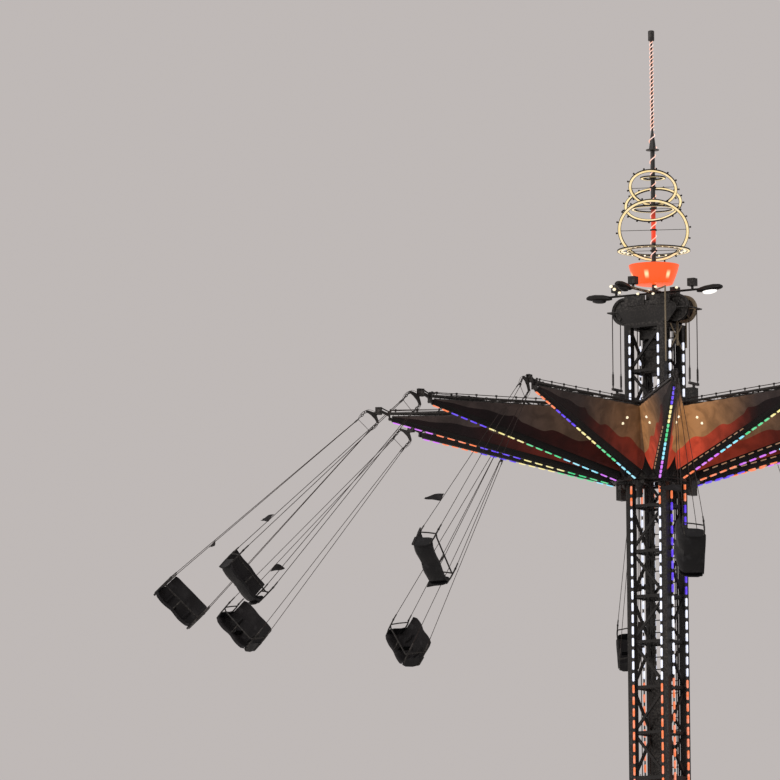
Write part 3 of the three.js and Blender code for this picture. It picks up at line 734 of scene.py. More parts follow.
def add_hoist_drive():
    """The dark tapered housing that hangs inside the tower under the head."""
    shape = Shape()
    for low, high, half_low, half_high in (
        (24.78, 24.9, 0.30, 0.30),
        (24.9, 25.35, 0.27, 0.27),
        (25.35, 25.62, 0.27, 0.17),
        (25.62, 25.86, 0.30, 0.30),
    ):
        rows = []
        for z, x in ((low, half_low), (high, half_high)):
            y = x * 0.8
            rows.append([(-x, -y, z), (x, -y, z), (x, y, z), (-x, y, z)])
        shape.add(joined(rows))
    for x in (-0.2, 0.2):
        shape.add(tube([(x, -0.26, 24.95), (x, -0.26, 25.3)], 0.03, 10))
    shape.add(bar((-0.44, 0, 24.84), (0.44, 0, 24.84), 0.06))
    make_piece("hoist_drive", shape, [MACHINE_PAINT], "tower", bevel=0.012)


# The head: ribbed sheaves, floodlights on twin tubes, small lamps, and struts painted cream as painted light

def add_sheaves():
    """Two sheaves a side on one shaft; the near right one is painted cream as painted light, where light
    falls on it.
    """
    half_rim = ((0.07, 0.03), (0.045, 0.045), (0, 0.045), (0, 0.032), (0.03, 0.014))
    rim = [(SHEAVE_R - deep, -z) for deep, z in half_rim]
    rim += [(radius, -z) for radius, z in reversed(rim)] + rim[:1]
    hub = [(0.03, -0.05), (0.085, -0.05), (0.085, 0.05), (0.03, 0.05)]
    shaft = [(0, -0.3295), (0.035, -0.3295), (0.035, 0.3295), (0, 0.3295)]
    for name, body, side in (("sheaves_left", "sheave_left", -1), ("sheaves_right", "sheave_right", 1)):
        shape = Shape()
        upright = at(side * SHEAVE_X, 0, SHEAVE_Z) @ UPRIGHT
        for y in (-ROPE_Y, ROPE_Y):
            # Painted light: only the near right sheave takes the cream copy of the paint
            finish = 1 if side > 0 and y < 0 else 0
            place = upright @ at(0, 0, y)
            shape.add(turned(rim, 48), finish, place)
            shape.add(turned(hub, 24), finish, place)
            shape.add(sleeve(0.08, SHEAVE_R - 0.065, 0.008, 48), 0, place)
            for spoke in range(6):
                rib = bar((0.08, 0, 0), (SHEAVE_R - 0.068, 0, 0), 0.018, 0.05)
                shape.add(rib, finish, place @ turned_by(spoke * math.pi / 3, "Z"))
        shape.add(turned(shaft, 20), 0, upright)
        make_piece(name + "_ribbed", shape, [MACHINE_PAINT, PAINTED_LIGHT_CREAM], body, (name,))


def add_lamp_head(shape, place, lens):
    """A street-lamp head: a tapered cap over a lens that faces down."""
    length = LAMP_OUT - LAMP_IN
    stations = (
        (0.0, 0.05, 0.05), (0.1, 0.085, 0.075), (0.32, 0.125, 0.10),
        (0.66, 0.13, 0.105), (0.9, 0.10, 0.08), (1.0, 0.05, 0.045),
    )
    rows = []
    for share, half, rise in reversed(stations):
        x, base = LAMP_IN + length * share, LAMP_Z - 0.045 + 0.05 * share
        rows.append([(x, half * c, base + s * rise * (1 if s > 0 else 0.55)) for c, s in around(14)])
    shape.add(joined(rows), 0, place)
    corners, faces = turned([(0, -0.075), (0.05, -0.07), (0.09, -0.05), (0.105, 0.0), (0, 0.0)], 20)
    dish = [(x * 1.9, y, z) for x, y, z in corners], faces
    shape.add(dish, lens, place @ at(LAMP_IN + length / 2, 0, LAMP_Z - 0.06) @ turned_by(-0.08, "Y"))


def add_floodlights():
    """Four lamp heads on twin tubes; the near right one is lit, and one pair of tubes is painted cream as
    painted light.
    """
    shape = Shape()
    shape.add(block((-0.13, -0.13, HEAD_TOP + 0.001), (0.13, 0.13, LAMP_Z + 0.06)))
    ballast_x = LAMP_IN - 0.14
    # cream is the painted-light copy of the dark steel paint
    steel, lit, unlit, cream = range(4)
    for side, place in enumerate(QUARTERS):
        for y in (-0.06, 0.06):
            arm = tube([(0.1, y, LAMP_Z), (LAMP_IN + 0.06, y, LAMP_Z)], 0.018)
            shape.add(arm, cream if side == 3 else steel, place)
        for x in (0.5, 0.78, ballast_x):
            shape.add(bar((x, -0.06, LAMP_Z), (x, 0.06, LAMP_Z), 0.02), steel, place)
        shape.add(centred_block((ballast_x, 0, LAMP_Z + 0.05), (0.05, 0.05, 0.1)), steel, place)
        shape.add(centred_block((ballast_x, 0, LAMP_Z + 0.185), (0.19, 0.19, 0.19)), steel, place)
        add_lamp_head(shape, place, lit if side == 0 else unlit)
    finishes = [MACHINE_PAINT, LAMP_LENS, DARK_LENS, PAINTED_LIGHT_CREAM]
    make_piece("floodlight_lamps", shape, finishes, "tower", ("floodlights",), bevel=0.004)


def add_head_lights():
    """Warm lamps round the head; the conduit up its near corner and struts below are painted-light cream."""
    shape = Shape()
    # cream is the painted-light copy of the dark steel paint, on the stalks, conduit and struts
    cream, bulb, dark = range(3)
    for x, y, z, foot_z in (
        (-0.25, -0.385, 26.74, 26.55), (0.18, -0.385, 26.71, 26.55), (0.01, -0.3, 26.805, 26.78),
        (0.1, -0.11, 26.92, 26.8), (0.67, -0.09, 26.86, 26.78), (-0.92, -0.09, 26.86, 26.78),
    ):
        shape.add(bar((x, y + 0.02, foot_z), (x, y + 0.02, z), 0.012), cream)
        shape.add(tube([(x, y - 0.03, z - 0.006), (x, y + 0.02, z)], [0.024, 0.03], 10), bulb)
    for x, y, z in ((-1.14, -0.1, 27.03), (-1.05, -0.1, 26.95)):
        shape.add(tube([(x, y - 0.05, z - 0.01), (x, y, z)], [0.03, 0.038], 10), bulb)
    for x in (-0.35, 0.35):
        for y in (-0.36, 0.36):
            shape.add(centred_block((x, y, 26.575), (0.56, 0.04, 0.25)), dark)
    for z, far_z in ((25.38, 25.96), (25.96, 25.38)):
        shape.add(tube([(0.575, -0.25, z), (0.575, 0.31, far_z)], 0.018), cream)
    for start, end, width, depth in (
        ((0.60, -0.54, 25.0), (0.60, -0.54, 26.86), 0.03, 0.03),
        ((0.60, -0.54, 26.84), (0.1, -0.1, 26.84), 0.03, 0.03),
        ((0.60, 0.06, 25.45), (0.60, 0.06, 26.10), 0.05, 0.02),
        ((0.565, 0.565, 25.45), (0.565, 0.565, 26.10), 0.03, 0.03),
    ):
        shape.add(bar(start, end, width, depth), cream)
    make_piece("head_lamps_and_struts", shape, [PAINTED_LIGHT_CREAM, BULB, MACHINE_PAINT], "tower")


# The crown: bowl, mast with its rope light, level rings and tilted hoops

def add_bowl():
    """A turned bowl with a wall of even thickness and a hole for the mast."""
    shape = Shape()
    wall, hole, base_top = 0.014, 0.056, 0.05
    outer = [
        (hole, 0), (0.40, 0), (0.445, 0.01), (0.47, 0.045), (0.53, 0.19), (0.585, 0.35), (0.615, 0.465),
        (0.62, 0.48),
    ]
    inner = [(r - wall, z + (wall if z < base_top else 0)) for r, z in reversed(outer[1:])] + [(hole, wall)]
    shape.add(turned([(r, BOWL_BOTTOM + z) for r, z in outer + inner + outer[:1]], 72))
    make_piece("crown_bowl_lit", shape, [BOWL], "tower", ("crown_bowl",))


def helix(radius_at, low, high, pitch, phase):
    """A path that winds round Z; the radius follows from the height."""
    steps = 14
    count = int((high - low) / pitch * steps)
    path = []
    for step in range(count + 1):
        angle = phase + math.tau * step / steps
        z = low + (high - low) * step / count
        path.append((radius_at(z) * math.cos(angle), radius_at(z) * math.sin(angle), z))
    return path


def add_mast():
    """The pipe with the disc and cone near its top, its cap, and the rope lights wound on it."""
    shape = Shape()
    disc, top = DISC_BOTTOM, MAST_TOP
    profile = [
        (0, HEAD_TOP + 0.0005), (0.055, HEAD_TOP + 0.0005), (0.055, disc), (0.16, disc + 0.002),
        (0.165, disc + 0.008), (0.165, disc + 0.02), (0.155, disc + 0.026), (0.09, disc + 0.03),
        (0.075, disc + 0.13), (0.05, disc + 0.33), (0.03, disc + 0.46), (0.0275, disc + 0.53),
        (0.0275, top - 0.265), (0.07, top - 0.262), (0.077, top - 0.25), (0.077, top - 0.02),
        (0.06, top - 0.008), (0.03, top - 0.001), (0, top),
    ]
    shape.add(turned(profile, 28))
    make_piece("crown_mast_pipe", shape, [PIPE], "tower", ("crown_mast",))
    lights = Shape()
    cone_foot = disc + 0.05
    for radius_at, low, high, pitch, phase, thickness in (
        (lambda z: 0.040, disc + 0.5, top - 0.28, 0.2, 0, 0.012),
        (lambda z: 0.040, disc + 0.5, top - 0.28, 0.2, math.pi, 0.012),
        (lambda z: 0.108 - (z - cone_foot) * 0.155, cone_foot, cone_foot + 0.42, 0.3, 0, 0.012),
        (lambda z: 0.068, 27.55, disc - 0.05, 0.33, 1.0, 0.013),
    ):
        lights.add(tube(helix(radius_at, low, high, pitch, phase), thickness, 6))
    make_piece("mast_rope_light", lights, [ROPE_LIGHT], "tower")


def add_lit_band(shape, radius, place, depth=BAND_DEPTH, height=BAND_HEIGHT):
    """A flat lit strip: cream on its two faces, with a dark rim outside and inside."""
    rim, sides = 0.012, 72
    shape.add(band(radius, height, rim, sides), 0, place)
    shape.add(band(radius - rim, height - 0.004, depth - 2 * rim, sides), 1, place)
    shape.add(band(radius - depth + rim, height, rim, sides), 0, place)


def add_bulbs(shape, radius, count, place, offset=0.0, finish=0):
    """Bulb holders that stand out round a strip."""
    holder = turned([
        (0, -0.01), (0.016, -0.01), (0.016, 0.02), (0.024, 0.028), (0.024, 0.045), (0.012, 0.056), (0, 0.058),
    ], 10)
    outward = at(radius, 0, 0) @ turned_by(math.pi / 2, "Y")
    for number in range(count):
        shape.add(holder, finish, place @ turned_by(math.tau * (number + offset) / count, "Z") @ outward)


def stay(direction, radius):
    """A thin bar from the mast's collar out to a strip."""
    start, short, width = 0.08, 0.07, 0.012
    return bar(direction * start, direction * (radius - short), width)


def add_rings():
    """Level bands on stays round the mast; the low one has a second band and bulbs inside it."""
    first_stay = math.radians(24)
    inner_share, inner_depth, inner_height = 0.74, 0.05, 0.02
    bulbs, bulb_inset = 28, 0.145
    for name, radius, z in RINGS:
        shape = Shape()
        level = at(0, 0, z)
        add_lit_band(shape, radius, level)
        shape.add(sleeve(MAST_R, 0.085, 0.02), 0, level)
        for number in range(4):
            place = level @ turned_by(first_stay + number * math.pi / 2, "Z")
            shape.add(stay(Vector((1, 0, 0)), radius), 0, place)
        if name == "crown_ring_low":
            add_lit_band(shape, radius * inner_share, level, inner_depth, inner_height)
            add_bulbs(shape, radius - bulb_inset, bulbs, level, 0.5, 2)
        make_piece(name + "_lit", shape, [MACHINE_PAINT, CREAM_LIT, BULB], "tower", (name,))


def add_hoops():
    """Bands tilted about a level line, with a stay along that line on each side of the mast."""
    bulb_pitch = 0.3
    for name, radius, z, tilt, towards in HOOPS:
        shape = Shape()
        level = at(0, 0, z)
        lean = math.radians(towards)
        axis = Vector((math.cos(lean), math.sin(lean), 0))
        tilted = level @ turned_by(math.radians(tilt), axis)
        add_lit_band(shape, radius, tilted)
        add_bulbs(shape, radius - 0.002, round(math.tau * radius / bulb_pitch), tilted)
        for end in (-axis, axis):
            shape.add(stay(end, radius), 0, level)
        shape.add(sleeve(MAST_R, 0.08, 0.02), 0, level)
        make_piece(name + "_lit", shape, [MACHINE_PAINT, CREAM_LIT], "tower", (name,))


# The hoist ropes, from the sheaves to the equaliser, drawn at one length; on the ride they lengthen as the
# carriage goes down

def add_hoist_ropes():
    """Two ropes a side from the sheaves, with sockets and the equaliser that they pull on."""
    steps = 24
    for name, x in (("left", -ROPE_X), ("right", ROPE_X)):
        shape, fittings = Shape(), Shape()
        low = EQUALISER_TOP - 0.005
        for y in (-ROPE_Y, ROPE_Y):
            path = [(x, y, SHEAVE_Z - (SHEAVE_Z - EQUALISER_TOP) * step / steps) for step in range(steps + 1)]
            shape.add(tube(path, 0.012))
        ropes = make_piece("hoist_rope_" + name, shape, [ROPE_WIRE], None)
        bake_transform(ropes)
        fittings.add(centred_block((x, 0, EQUALISER_TOP - 0.03), (0.06, 0.46, 0.06)))
        fittings.add(centred_block((x, 0, EQUALISER_TOP - 0.075), (0.04, 0.08, 0.11)))
        for y in (-ROPE_Y, ROPE_Y):
            socket = [(x, y, low + up) for up in (0, 0.06, 0.07, 0.34, 0.35, 0.4)]
            fittings.add(tube(socket, [0.018, 0.018, 0.026, 0.026, 0.016, 0.016], 10))
        make_piece("hoist_rope_fittings_" + name, fittings, [GALVANISED], "carriage",
                   ("hoist_ropes_" + name,), bevel=0.004)


# The carriage: guide rollers, drive boxes and the slewing motors

def add_carriage_details():
    """Guide rollers on the four sides, and two slewing motors that hang below."""
    one_side = Shape()
    profile = [(0, -0.03), (0.05, -0.03), (0.055, -0.025), (0.055, 0.025), (0.05, 0.03), (0, 0.03)]
    roller = turned(profile, 20)
    for z in (22.0, 24.04):
        for x in (-0.5, 0.5):
            one_side.add(roller, 1, at(x, -0.725, z) @ turned_by(math.pi / 2, "Y"))
            one_side.add(centred_block((x, -0.69, z), (0.09, 0.03, 0.14)))
    shape = one_side.repeated(QUARTERS)
    for y in (-0.86, 0.86):
        motor = [(0, y, z) for z in (22.1, 21.90, 21.88, 21.68)]
        shape.add(tube(motor, [0.1, 0.1, 0.08, 0.075], 16))
        shape.add(centred_block((0, y * 0.93, 22.055), (0.34, 0.26, 0.1)))
    make_piece("carriage_rollers_and_motors", shape, [MACHINE_PAINT, GALVANISED], "carriage",
               bevel=0.004)


# The star: arms, canopy cloth, lights and hangers

def arm_half(x):
    """Half the width between the top edges of an arm."""
    return VALLEY_HALF + (TIP_HALF - VALLEY_HALF) * (x - VALLEY_X) / (TIP_X - VALLEY_X)


def keel_height(x):
    return KEEL_ROOT_Z + (KEEL_TIP_Z - KEEL_ROOT_Z) * (x - ROOT_X) / (TIP_X - ROOT_X)


def pocket_edge(x, side):
    """Where a panel meets the black pocket that wraps the keel; the pocket narrows towards the tip."""
    half = 0.06 + 0.11 * (TIP_X - x) / (TIP_X - ROOT_X)
    return Vector((x, side * half, keel_height(x) + 0.8 * half))


def keel_side(x, side):
    return Vector((x, side * KEEL_HALF, keel_height(x) - 0.03))


class Cloth:
    """Grids of corners for the canopy, each corner with its two marks for the finish."""

    def __init__(self):
        self.corners = []
        self.faces = []
        self.marks = []

    def add(self, place, columns, rows, flip, spot_at):
        start = len(self.corners)
        for column in range(columns + 1):
            for row in range(rows + 1):
                corner, *marks = spot_at(column / columns, row / rows)
                self.corners.append(place @ corner)
                self.marks.append(marks)
        for column in range(columns):
            for row in range(rows):
                a = start + column * (rows + 1) + row
                b = a + rows + 1
                face = (a, a + 1, b + 1, b)
                self.faces.append(face[::-1] if flip else face)

    def mesh(self, name):
        mesh = bpy.data.meshes.new(name)
        mesh.from_pydata(self.corners, [], self.faces)
        mesh.materials.append(CLOTH)
        for number, label in enumerate(("panel", "pocket")):
            layer = mesh.uv_layers.new(name=label)
            for loop in mesh.loops:
                layer.data[loop.index].uv = self.marks[loop.vertex_index][number]
        mesh.update()
        mesh.shade_smooth()
        return mesh


def add_canopy():
    """One cloth under all arms: two panels an arm and a gusset in each valley."""
    sewn = Cloth()
    half = ARM_STEP / 2
    tip_x, root_x = TIP_X - 0.06, ROOT_X + 0.042
    valley_radius, rim_z = 2.024, TIP_Z - HEM_DROP
    along, across = 26, 16
    sag_share, fold_depth, scallop_depth, bow_depth = 0.045, 0.008, 0.006, 0.03
    scallop_turn, fold_turn = 27, 60

    def valley_spot(radius, side, z):
        return Vector((radius * math.cos(half), side * radius * math.sin(half), z))

    def add_panels(place, side, glow):
        top_tip = Vector((tip_x, side * (arm_half(tip_x) + 0.025), rim_z))
        valley = valley_spot(valley_radius, side, rim_z)
        inward = Vector((0, -side, 0.3)).normalized()

        def edge(s):
            return pocket_edge(tip_x, side).lerp(pocket_edge(root_x, side), s)

        def panel(s, t):
            top = top_tip.lerp(valley, s)
            top.z -= scallop_depth * abs(math.sin(s * scallop_turn))
            sag = sag_share * (top - edge(s)).length * math.sin(math.pi * s) * math.sin(math.pi * t)
            folds = fold_depth * math.sin(s * fold_turn + t * 3) * (1 - t) ** 2
            return top.lerp(edge(s), t) + inward * (sag + folds)

        def pocket(s, t):
            return edge(s).lerp(keel_side(tip_x, side).lerp(keel_side(root_x, side), s), t)

        sewn.add(place, along, across, side > 0, lambda s, t: (panel(s, t), (s, t), (1, glow)))
        sewn.add(place, along, 2, side > 0, lambda s, t: (pocket(s, t), (s, 1), (0, 0)))

    def add_gusset(place, first, second, middle_at, glow):
        valley = valley_spot(valley_radius, 1, rim_z)

        def gusset(s, t):
            spot = valley.lerp(first.lerp(second, s), t)
            bow = bow_depth * math.sin(math.pi * t) * math.sin(math.pi * s)
            # The black pocket is a wedge in the valley's middle that widens towards the hub
            share = 0.38 + abs(s - middle_at) - 3 * (t - 0.7)
            return spot - Vector((spot.x, spot.y, 0)).normalized() * bow, (1, t), (share, glow)

        sewn.add(place, 6, across, False, gusset)

    foot = valley_spot(root_x + 0.006, 1, keel_height(root_x) - 0.03)
    far_edge = Matrix.Rotation(ARM_STEP, 3, "Z") @ pocket_edge(root_x, -1)
    for arm, place in enumerate(ARM_PLACES):
        # Each panel and gusset gets its share of the painted glow
        left, right = PAINTED_PANEL_GLOWS[arm]
        add_panels(place, 1, right)
        add_panels(place, -1, left)
        add_gusset(place, pocket_edge(root_x, 1), foot, 1, right)
        add_gusset(place, foot, far_edge, 0, PAINTED_PANEL_GLOWS[(arm + 1) % ARMS][0])
    cloth = link("canopy_cloth", sewn.mesh("canopy_cloth"))
    thick = cloth.modifiers.new("Cloth thickness", "SOLIDIFY")
    thick.thickness = 0.004
    thick.offset = -1
    settle(cloth, "star", ("canopy",))


def add_arm_lights():
    """A row of coloured lights under each keel, and dim lamps beside it near the hub."""
    shape = Shape()
    channel, dim = len(LIGHT_NAMES), len(LIGHT_NAMES) + 1
    count, dash, gap, group = 20, 0.19, 0.03, 4
    tip, root = [Vector((x, 0, keel_height(x) - 0.048)) for x in (6.44, 1.12)]
    run = (root - tip).normalized()
    pitch = (root - tip).length / count
    for arm, place in enumerate(ARM_PLACES):
        shape.add(bar(tip, root, 0.05, 0.026), channel, place)
        for number in range(count):
            begin = tip + run * (number * pitch + gap) + Vector((0, 0, -0.014))
            colour = KEEL_COLOURS[(number + COLOUR_STARTS[arm]) // group % len(KEEL_COLOURS)]
            shape.add(capsule(begin, begin + run * dash, 0.028), LIGHT_NAMES.index(colour), place)
        for number in range(11):
            x = ROOT_X + 0.35 + number * 0.24
            lamp = keel_side(x, -1).lerp(pocket_edge(x, -1), 0.75) + Vector((0, -0.008, -0.007))
            shape.add(capsule(lamp, lamp + run * 0.15, 0.014), dim, place)
    finishes = LIGHT_FINISHES + [MACHINE_PAINT, DIM_LIGHT]
    make_piece("keel_lights", shape, finishes, "star", smooth=50)


def add_arm_rails():
    """Short posts and a wire along the top edges, cross ties, and the hem tube that holds the cloth."""
    shape = Shape()
    steel, rope = 0, 1
    wire_z, hem_z = TIP_Z + 0.083, TIP_Z - HEM_DROP
    posts = [TIP_X - 0.02] + [TIP_X - 0.14 - 0.53 * number for number in range(9)]
    first_tick, tick_run, ticks = VALLEY_X + 0.06, TIP_X - VALLEY_X - 0.14, 34
    for side in (-1, 1):
        for x in posts:
            y = side * arm_half(x)
            shape.add(tube([(x, y, TIP_Z + 0.02), (x, y, TIP_Z + 0.09)], 0.013, 6), steel)
            shape.add(centred_block((x, y, wire_z), (0.045, 0.03, 0.045)), steel)
        shape.add(tube([(x, side * arm_half(x), wire_z) for x in posts], 0.010, 6), rope)
        hem_ends = ((TIP_X - 0.05, arm_half(TIP_X) + 0.02), (VALLEY_X, VALLEY_HALF + 0.02))
        shape.add(tube([(x, side * y, hem_z) for x, y in hem_ends], 0.012, 6), steel)
        for number in range(ticks):
            x = first_tick + tick_run * number / (ticks - 1)
            y = side * (arm_half(x) + 0.014)
            shape.add(bar((x, y, TIP_Z - 0.02), (x, y, hem_z), 0.01), steel)
    for x in (2.6, 3.3, 4.7, 5.3, 5.9):
        half = arm_half(x)
        shape.add(bar((x, -half, TIP_Z), (x, half, TIP_Z), 0.035), steel)
    bays = (VALLEY_X, 2.6, 3.3, 4.0, 4.7, 5.3, 5.9)
    for number, (near, far) in enumerate(zip(bays, bays[1:])):
        sign = 1 if number % 2 else -1
        start, end = (near, sign * arm_half(near), TIP_Z), (far, -sign * arm_half(far), TIP_Z)
        shape.add(bar(start, end, 0.028), steel)
    finishes = [ARM_PAINT, ROPE_WIRE]
    make_piece("arm_rails_and_ties", shape.repeated(ARM_PLACES), finishes, "star")


def add_nose_bolts():
    """Caps on the pivot pins and bolts through the end plates of the arms."""
    shape = Shape()
    x, z = PIVOT.x, PIVOT.z
    # Where each cap or bolt sits, where it starts and ends across the nose, its radius and its sides
    bolts = [(x, z, 0.042, 0.058, 0.036, 12)]
    bolts += [(x + over, z + up, 0.042, 0.052, 0.011, 6) for up in (-0.075, 0.07) for over in (-0.05, 0.05)]
    for side in (-1, 1):
        for x, z, inside, outside, radius, sides in bolts:
            shape.add(tube([(x, side * inside, z), (x, side * outside, z)], radius, sides))
        for z in (23.70, 23.78, 23.86):
            shape.add(tube([(6.509, side * 0.055, z), (6.522, side * 0.055, z)], 0.013, 6))
    make_piece("nose_bolts", shape.repeated(ARM_PLACES), [GALVANISED], "star")


def add_valley_lamps():
    """Warm lamps on the cloth, a pair on each side of every arm near the hub."""
    shape = Shape()
    for side in (-1, 1):
        for x, y, z in ((2.45, 0.26, 23.30), (2.35, 0.33, 23.45)):
            lamp = [(x, side * (y + out), z - 0.34 * out) for out in (0.0, 0.06, 0.08)]
            shape.add(tube(lamp, [0.022, 0.034, 0.018], 12))
    make_piece("valley_lamps", shape.repeated(ARM_PLACES), [BULB], "star")


# Hangers: eye, yoke, shackle links, node plates and ropes, hanging down from the pivot pin

def yoke_outline():
    """A shallow arch with a horn at each end, its corners eased."""
    half = [
        (0.045, -0.085), (0.056, -0.103), (0.080, -0.120), (0.115, -0.136), (0.150, -0.153), (0.190, -0.176),
        (0.222, -0.200), (0.224, -0.210), (0.182, -0.238), (0.172, -0.234), (0.150, -0.224), (0.120, -0.215),
        (0.090, -0.208), (0.060, -0.203),
    ]
    return half + [(-x, z) for x, z in reversed(half)]


def chain_link(length, width, wire):
    """One oval chain link."""
    path = [(width / 2 * c, 0, length / 2 * s) for c, s in around(16)]
    return tube(path, wire, 6, closed=True)


def hanger_shape():
    """One hanger about its pivot pin, with the chair's corners at its lower end."""
    shape = Shape()
    steel, links, rope = 0, 1, 2
    sideways = turned_by(math.pi / 2, "Z") @ UPRIGHT
    shape.add(plate(yoke_outline(), 0.044), steel, UPRIGHT)
    shape.add(sleeve(0.0215, 0.05, 0.0222), steel, UPRIGHT)
    neck = [(-0.036, -0.04), (0.036, -0.04), (0.036, -0.10), (-0.036, -0.10)]
    shape.add(plate(neck, 0.0438), steel, UPRIGHT)
    oval = chain_link(0.078, 0.046, 0.009)
    node = plate([
        (-0.022, -0.436), (0.022, -0.436), (0.054, -0.512), (0.048, -0.524), (-0.048, -0.524),
        (-0.054, -0.512),
    ], 0.014)
    for side in (-1, 1):
        stem = [(0.022, -0.03), (0.048, -0.02), (0.036, -0.05), (0.036, -0.07), (0.046, -0.09), (0, -0.11)]
        stem = [(side * x, z) for x, z in stem]
        shape.add(plate(stem if side < 0 else stem[::-1], 0.044), steel, UPRIGHT)
        x = side * LINK_X
        shape.add(tube([(side * 0.2, -0.034, -0.21), (side * 0.2, 0.034, -0.21)], 0.014, 10), links)
        for number in range(4):
            spot = at(side * (0.2 - number * 0.0012), 0, -0.243 - number * 0.056)
            shape.add(oval, links, spot @ turned_by(number * math.pi / 2, "Z"))
        shape.add(node, steel, at(x, 0, 0) @ sideways)
        for front in (-1, 1):
            top = Vector((x, front * 0.04, ROPE_TOP))
            foot = Vector((side * CHAIR_POST, front * 0.23, ROPE_END + 0.0015))
            run = foot - top
            shape.add(tube([top + run * (step / 10) for step in range(11)], 0.008, 6), rope)
            shape.add(tube([top, top + run * 0.016, top + run * 0.019], [0.014, 0.014, 0.009]), links)
            shape.add(tube([foot - run * 0.03, foot - run * 0.026, foot], [0.009, 0.017, 0.017]), links)
            loop = [(0.205, 0.024, -0.19), (0.24, 0.03, -0.27), (0.245, 0.03, -0.36), (0.222, 0.03, -0.45),
                    (0.2, 0.02, -0.49)]
            shape.add(tube([(side * x, front * y, z) for x, y, z in loop], 0.0045, 5), rope)
    shape.add(tube([(-LINK_X, 0, ROPE_TOP + 0.008), (LINK_X, 0, ROPE_TOP + 0.008)], 0.006, 6), rope)
    tether = [
        (0.02, 0.026, -0.055), (0.07, 0.03, -0.085), (0.14, 0.03, -0.115), (0.20, 0.03, -0.16),
        (0.206, 0.026, -0.2),
    ]
    shape.add(tube(tether, 0.0045, 5), rope)
    return shape


def double_skin(front_side, back_side, inside, outside):
    """Two matching sheets of corners joined round their edges: the faces and finishes of a closed shell."""
    rows, columns = len(front_side), len(front_side[0])
    corners = [spot for row in front_side + back_side for spot in row]
    back = rows * columns
    faces, finishes = [], []

    def add(finish, *face):
        faces.append(face)
        finishes.append(finish)

    for row in range(rows - 1):
        for column in range(columns - 1):
            a = row * columns + column
            b = a + columns
            add(inside, a, b, b + 1, a + 1)
            add(outside, a + back, a + back + 1, b + back + 1, b + back)
    for column in range(columns - 1):
        low = back - columns + column
        add(outside, column, column + 1, column + 1 + back, column + back)
        add(outside, low + 1, low, low + back, low + 1 + back)
    for left in range(0, back - columns, columns):
        right = left + columns - 1
        add(outside, left + columns, left, left + back, left + columns + back)
        add(outside, right, right + columns, right + columns + back, right + back)
    shape = Shape()
    shape.corners, shape.faces, shape.finishes = corners, faces, finishes
    return shape


def seat_shell(shell, pad):
    """A bucket with two hollows side by side, from the crest of the back to the front edge of the seat."""
    back_rows = ((-0.33, 0.70), (-0.335, 0.66), (-0.325, 0.5), (-0.30, 0.3), (-0.265, 0.12))
    seat_rows = (
        (-0.22, 0.045), (-0.14, 0.02), (0.0, 0.015), (0.14, 0.03), (0.21, 0.04), (0.245, 0.025),
        (0.255, -0.01),
    )
    columns = 28
    wide = CHAIR_HALF - 0.045
    front_side, back_side = [], []
    for number, (y, z) in enumerate(back_rows + seat_rows):
        upright = number < len(back_rows)
        slip = Vector((0, -0.028, 0)) if upright else Vector((0, -0.004, -0.03))
        row = []
        for column in range(columns + 1):
            share = column / columns * 2 - 1
            hollow = 0.04 * math.sin(math.pi * abs(share)) ** 1.5
            wing = 0.04 * max(0.0, abs(share) - 0.86) / 0.14
            crest = -0.03 * max(0.0, abs(share) - 0.88) / 0.12 if number == 0 else 0.0
            dy, dz = (wing - hollow, crest) if upright else (0.0, wing - hollow * 0.7)
            row.append(Vector((share * wide, y + dy, SEAT_Z + z + dz)))
        front_side.append(row)
        back_side.append([spot + slip for spot in row])
    return double_skin(front_side, back_side, pad, shell)


def chair_shape():
    """The double chair: a bucket shell with two seats, side frames and a lap bar."""
    shell, pad, steel = 0, 1, 2
    shape = seat_shell(shell, pad)
    seat, bar_z = SEAT_Z, SEAT_Z + 0.30
    outline = [
        (-0.28, 0.02), (-0.1, -0.05), (0.12, -0.055), (0.23, 0.0), (0.235, 0.1), (0.19, 0.2), (0.08, 0.235),
        (-0.12, 0.25), (-0.25, 0.3), (-0.30, 0.28),
    ]
    cheek = plate(outline, 0.028)
    for side in (-1, 1):
        place = at(side * (CHAIR_HALF - 0.03), 0, seat) @ turned_by(math.pi / 2, "Z") @ UPRIGHT
        shape.add(cheek, shell, place)
        for path, radius in (
            (((0.23, ROPE_END), (0.23, seat + 0.2), (0.2, seat - 0.01)), 0.019),
            (((-0.23, ROPE_END), (-0.255, seat + 0.4), (-0.24, seat + 0.2), (-0.23, seat)), 0.019),
            (((-0.235, seat + 0.46), (0.0, seat + 0.42), (0.23, seat + 0.36)), 0.016),
            (((-0.23, ROPE_END - 0.0005), (-0.23, ROPE_END - 0.05)), 0.024),
            (((0.23, ROPE_END - 0.0005), (0.23, ROPE_END - 0.05)), 0.024),
        ):
            shape.add(tube([(side * CHAIR_POST, y, z) for y, z in path], radius), steel)
        x = side * 0.28
        shape.add(bar((x, -0.275, seat + 0.34), (x, -0.20, seat + 0.06), 0.05, 0.008, (0, 1, 0)), pad)
    lap = [
        (-0.575, 0.235, bar_z + 0.04), (-0.5, 0.24, bar_z), (-0.1, 0.24, bar_z), (0.1, 0.24, bar_z),
        (0.5, 0.24, bar_z), (0.575, 0.235, bar_z + 0.04),
    ]
    shape.add(tube(lap, 0.019), steel)
    shape.add(tube([(0, 0.24, bar_z), (0, 0.22, seat + 0.03)], 0.018), steel)
    shape.add(centred_block((0, -0.05, seat + 0.07), (0.03, 0.36, 0.13)), shell)
    return shape


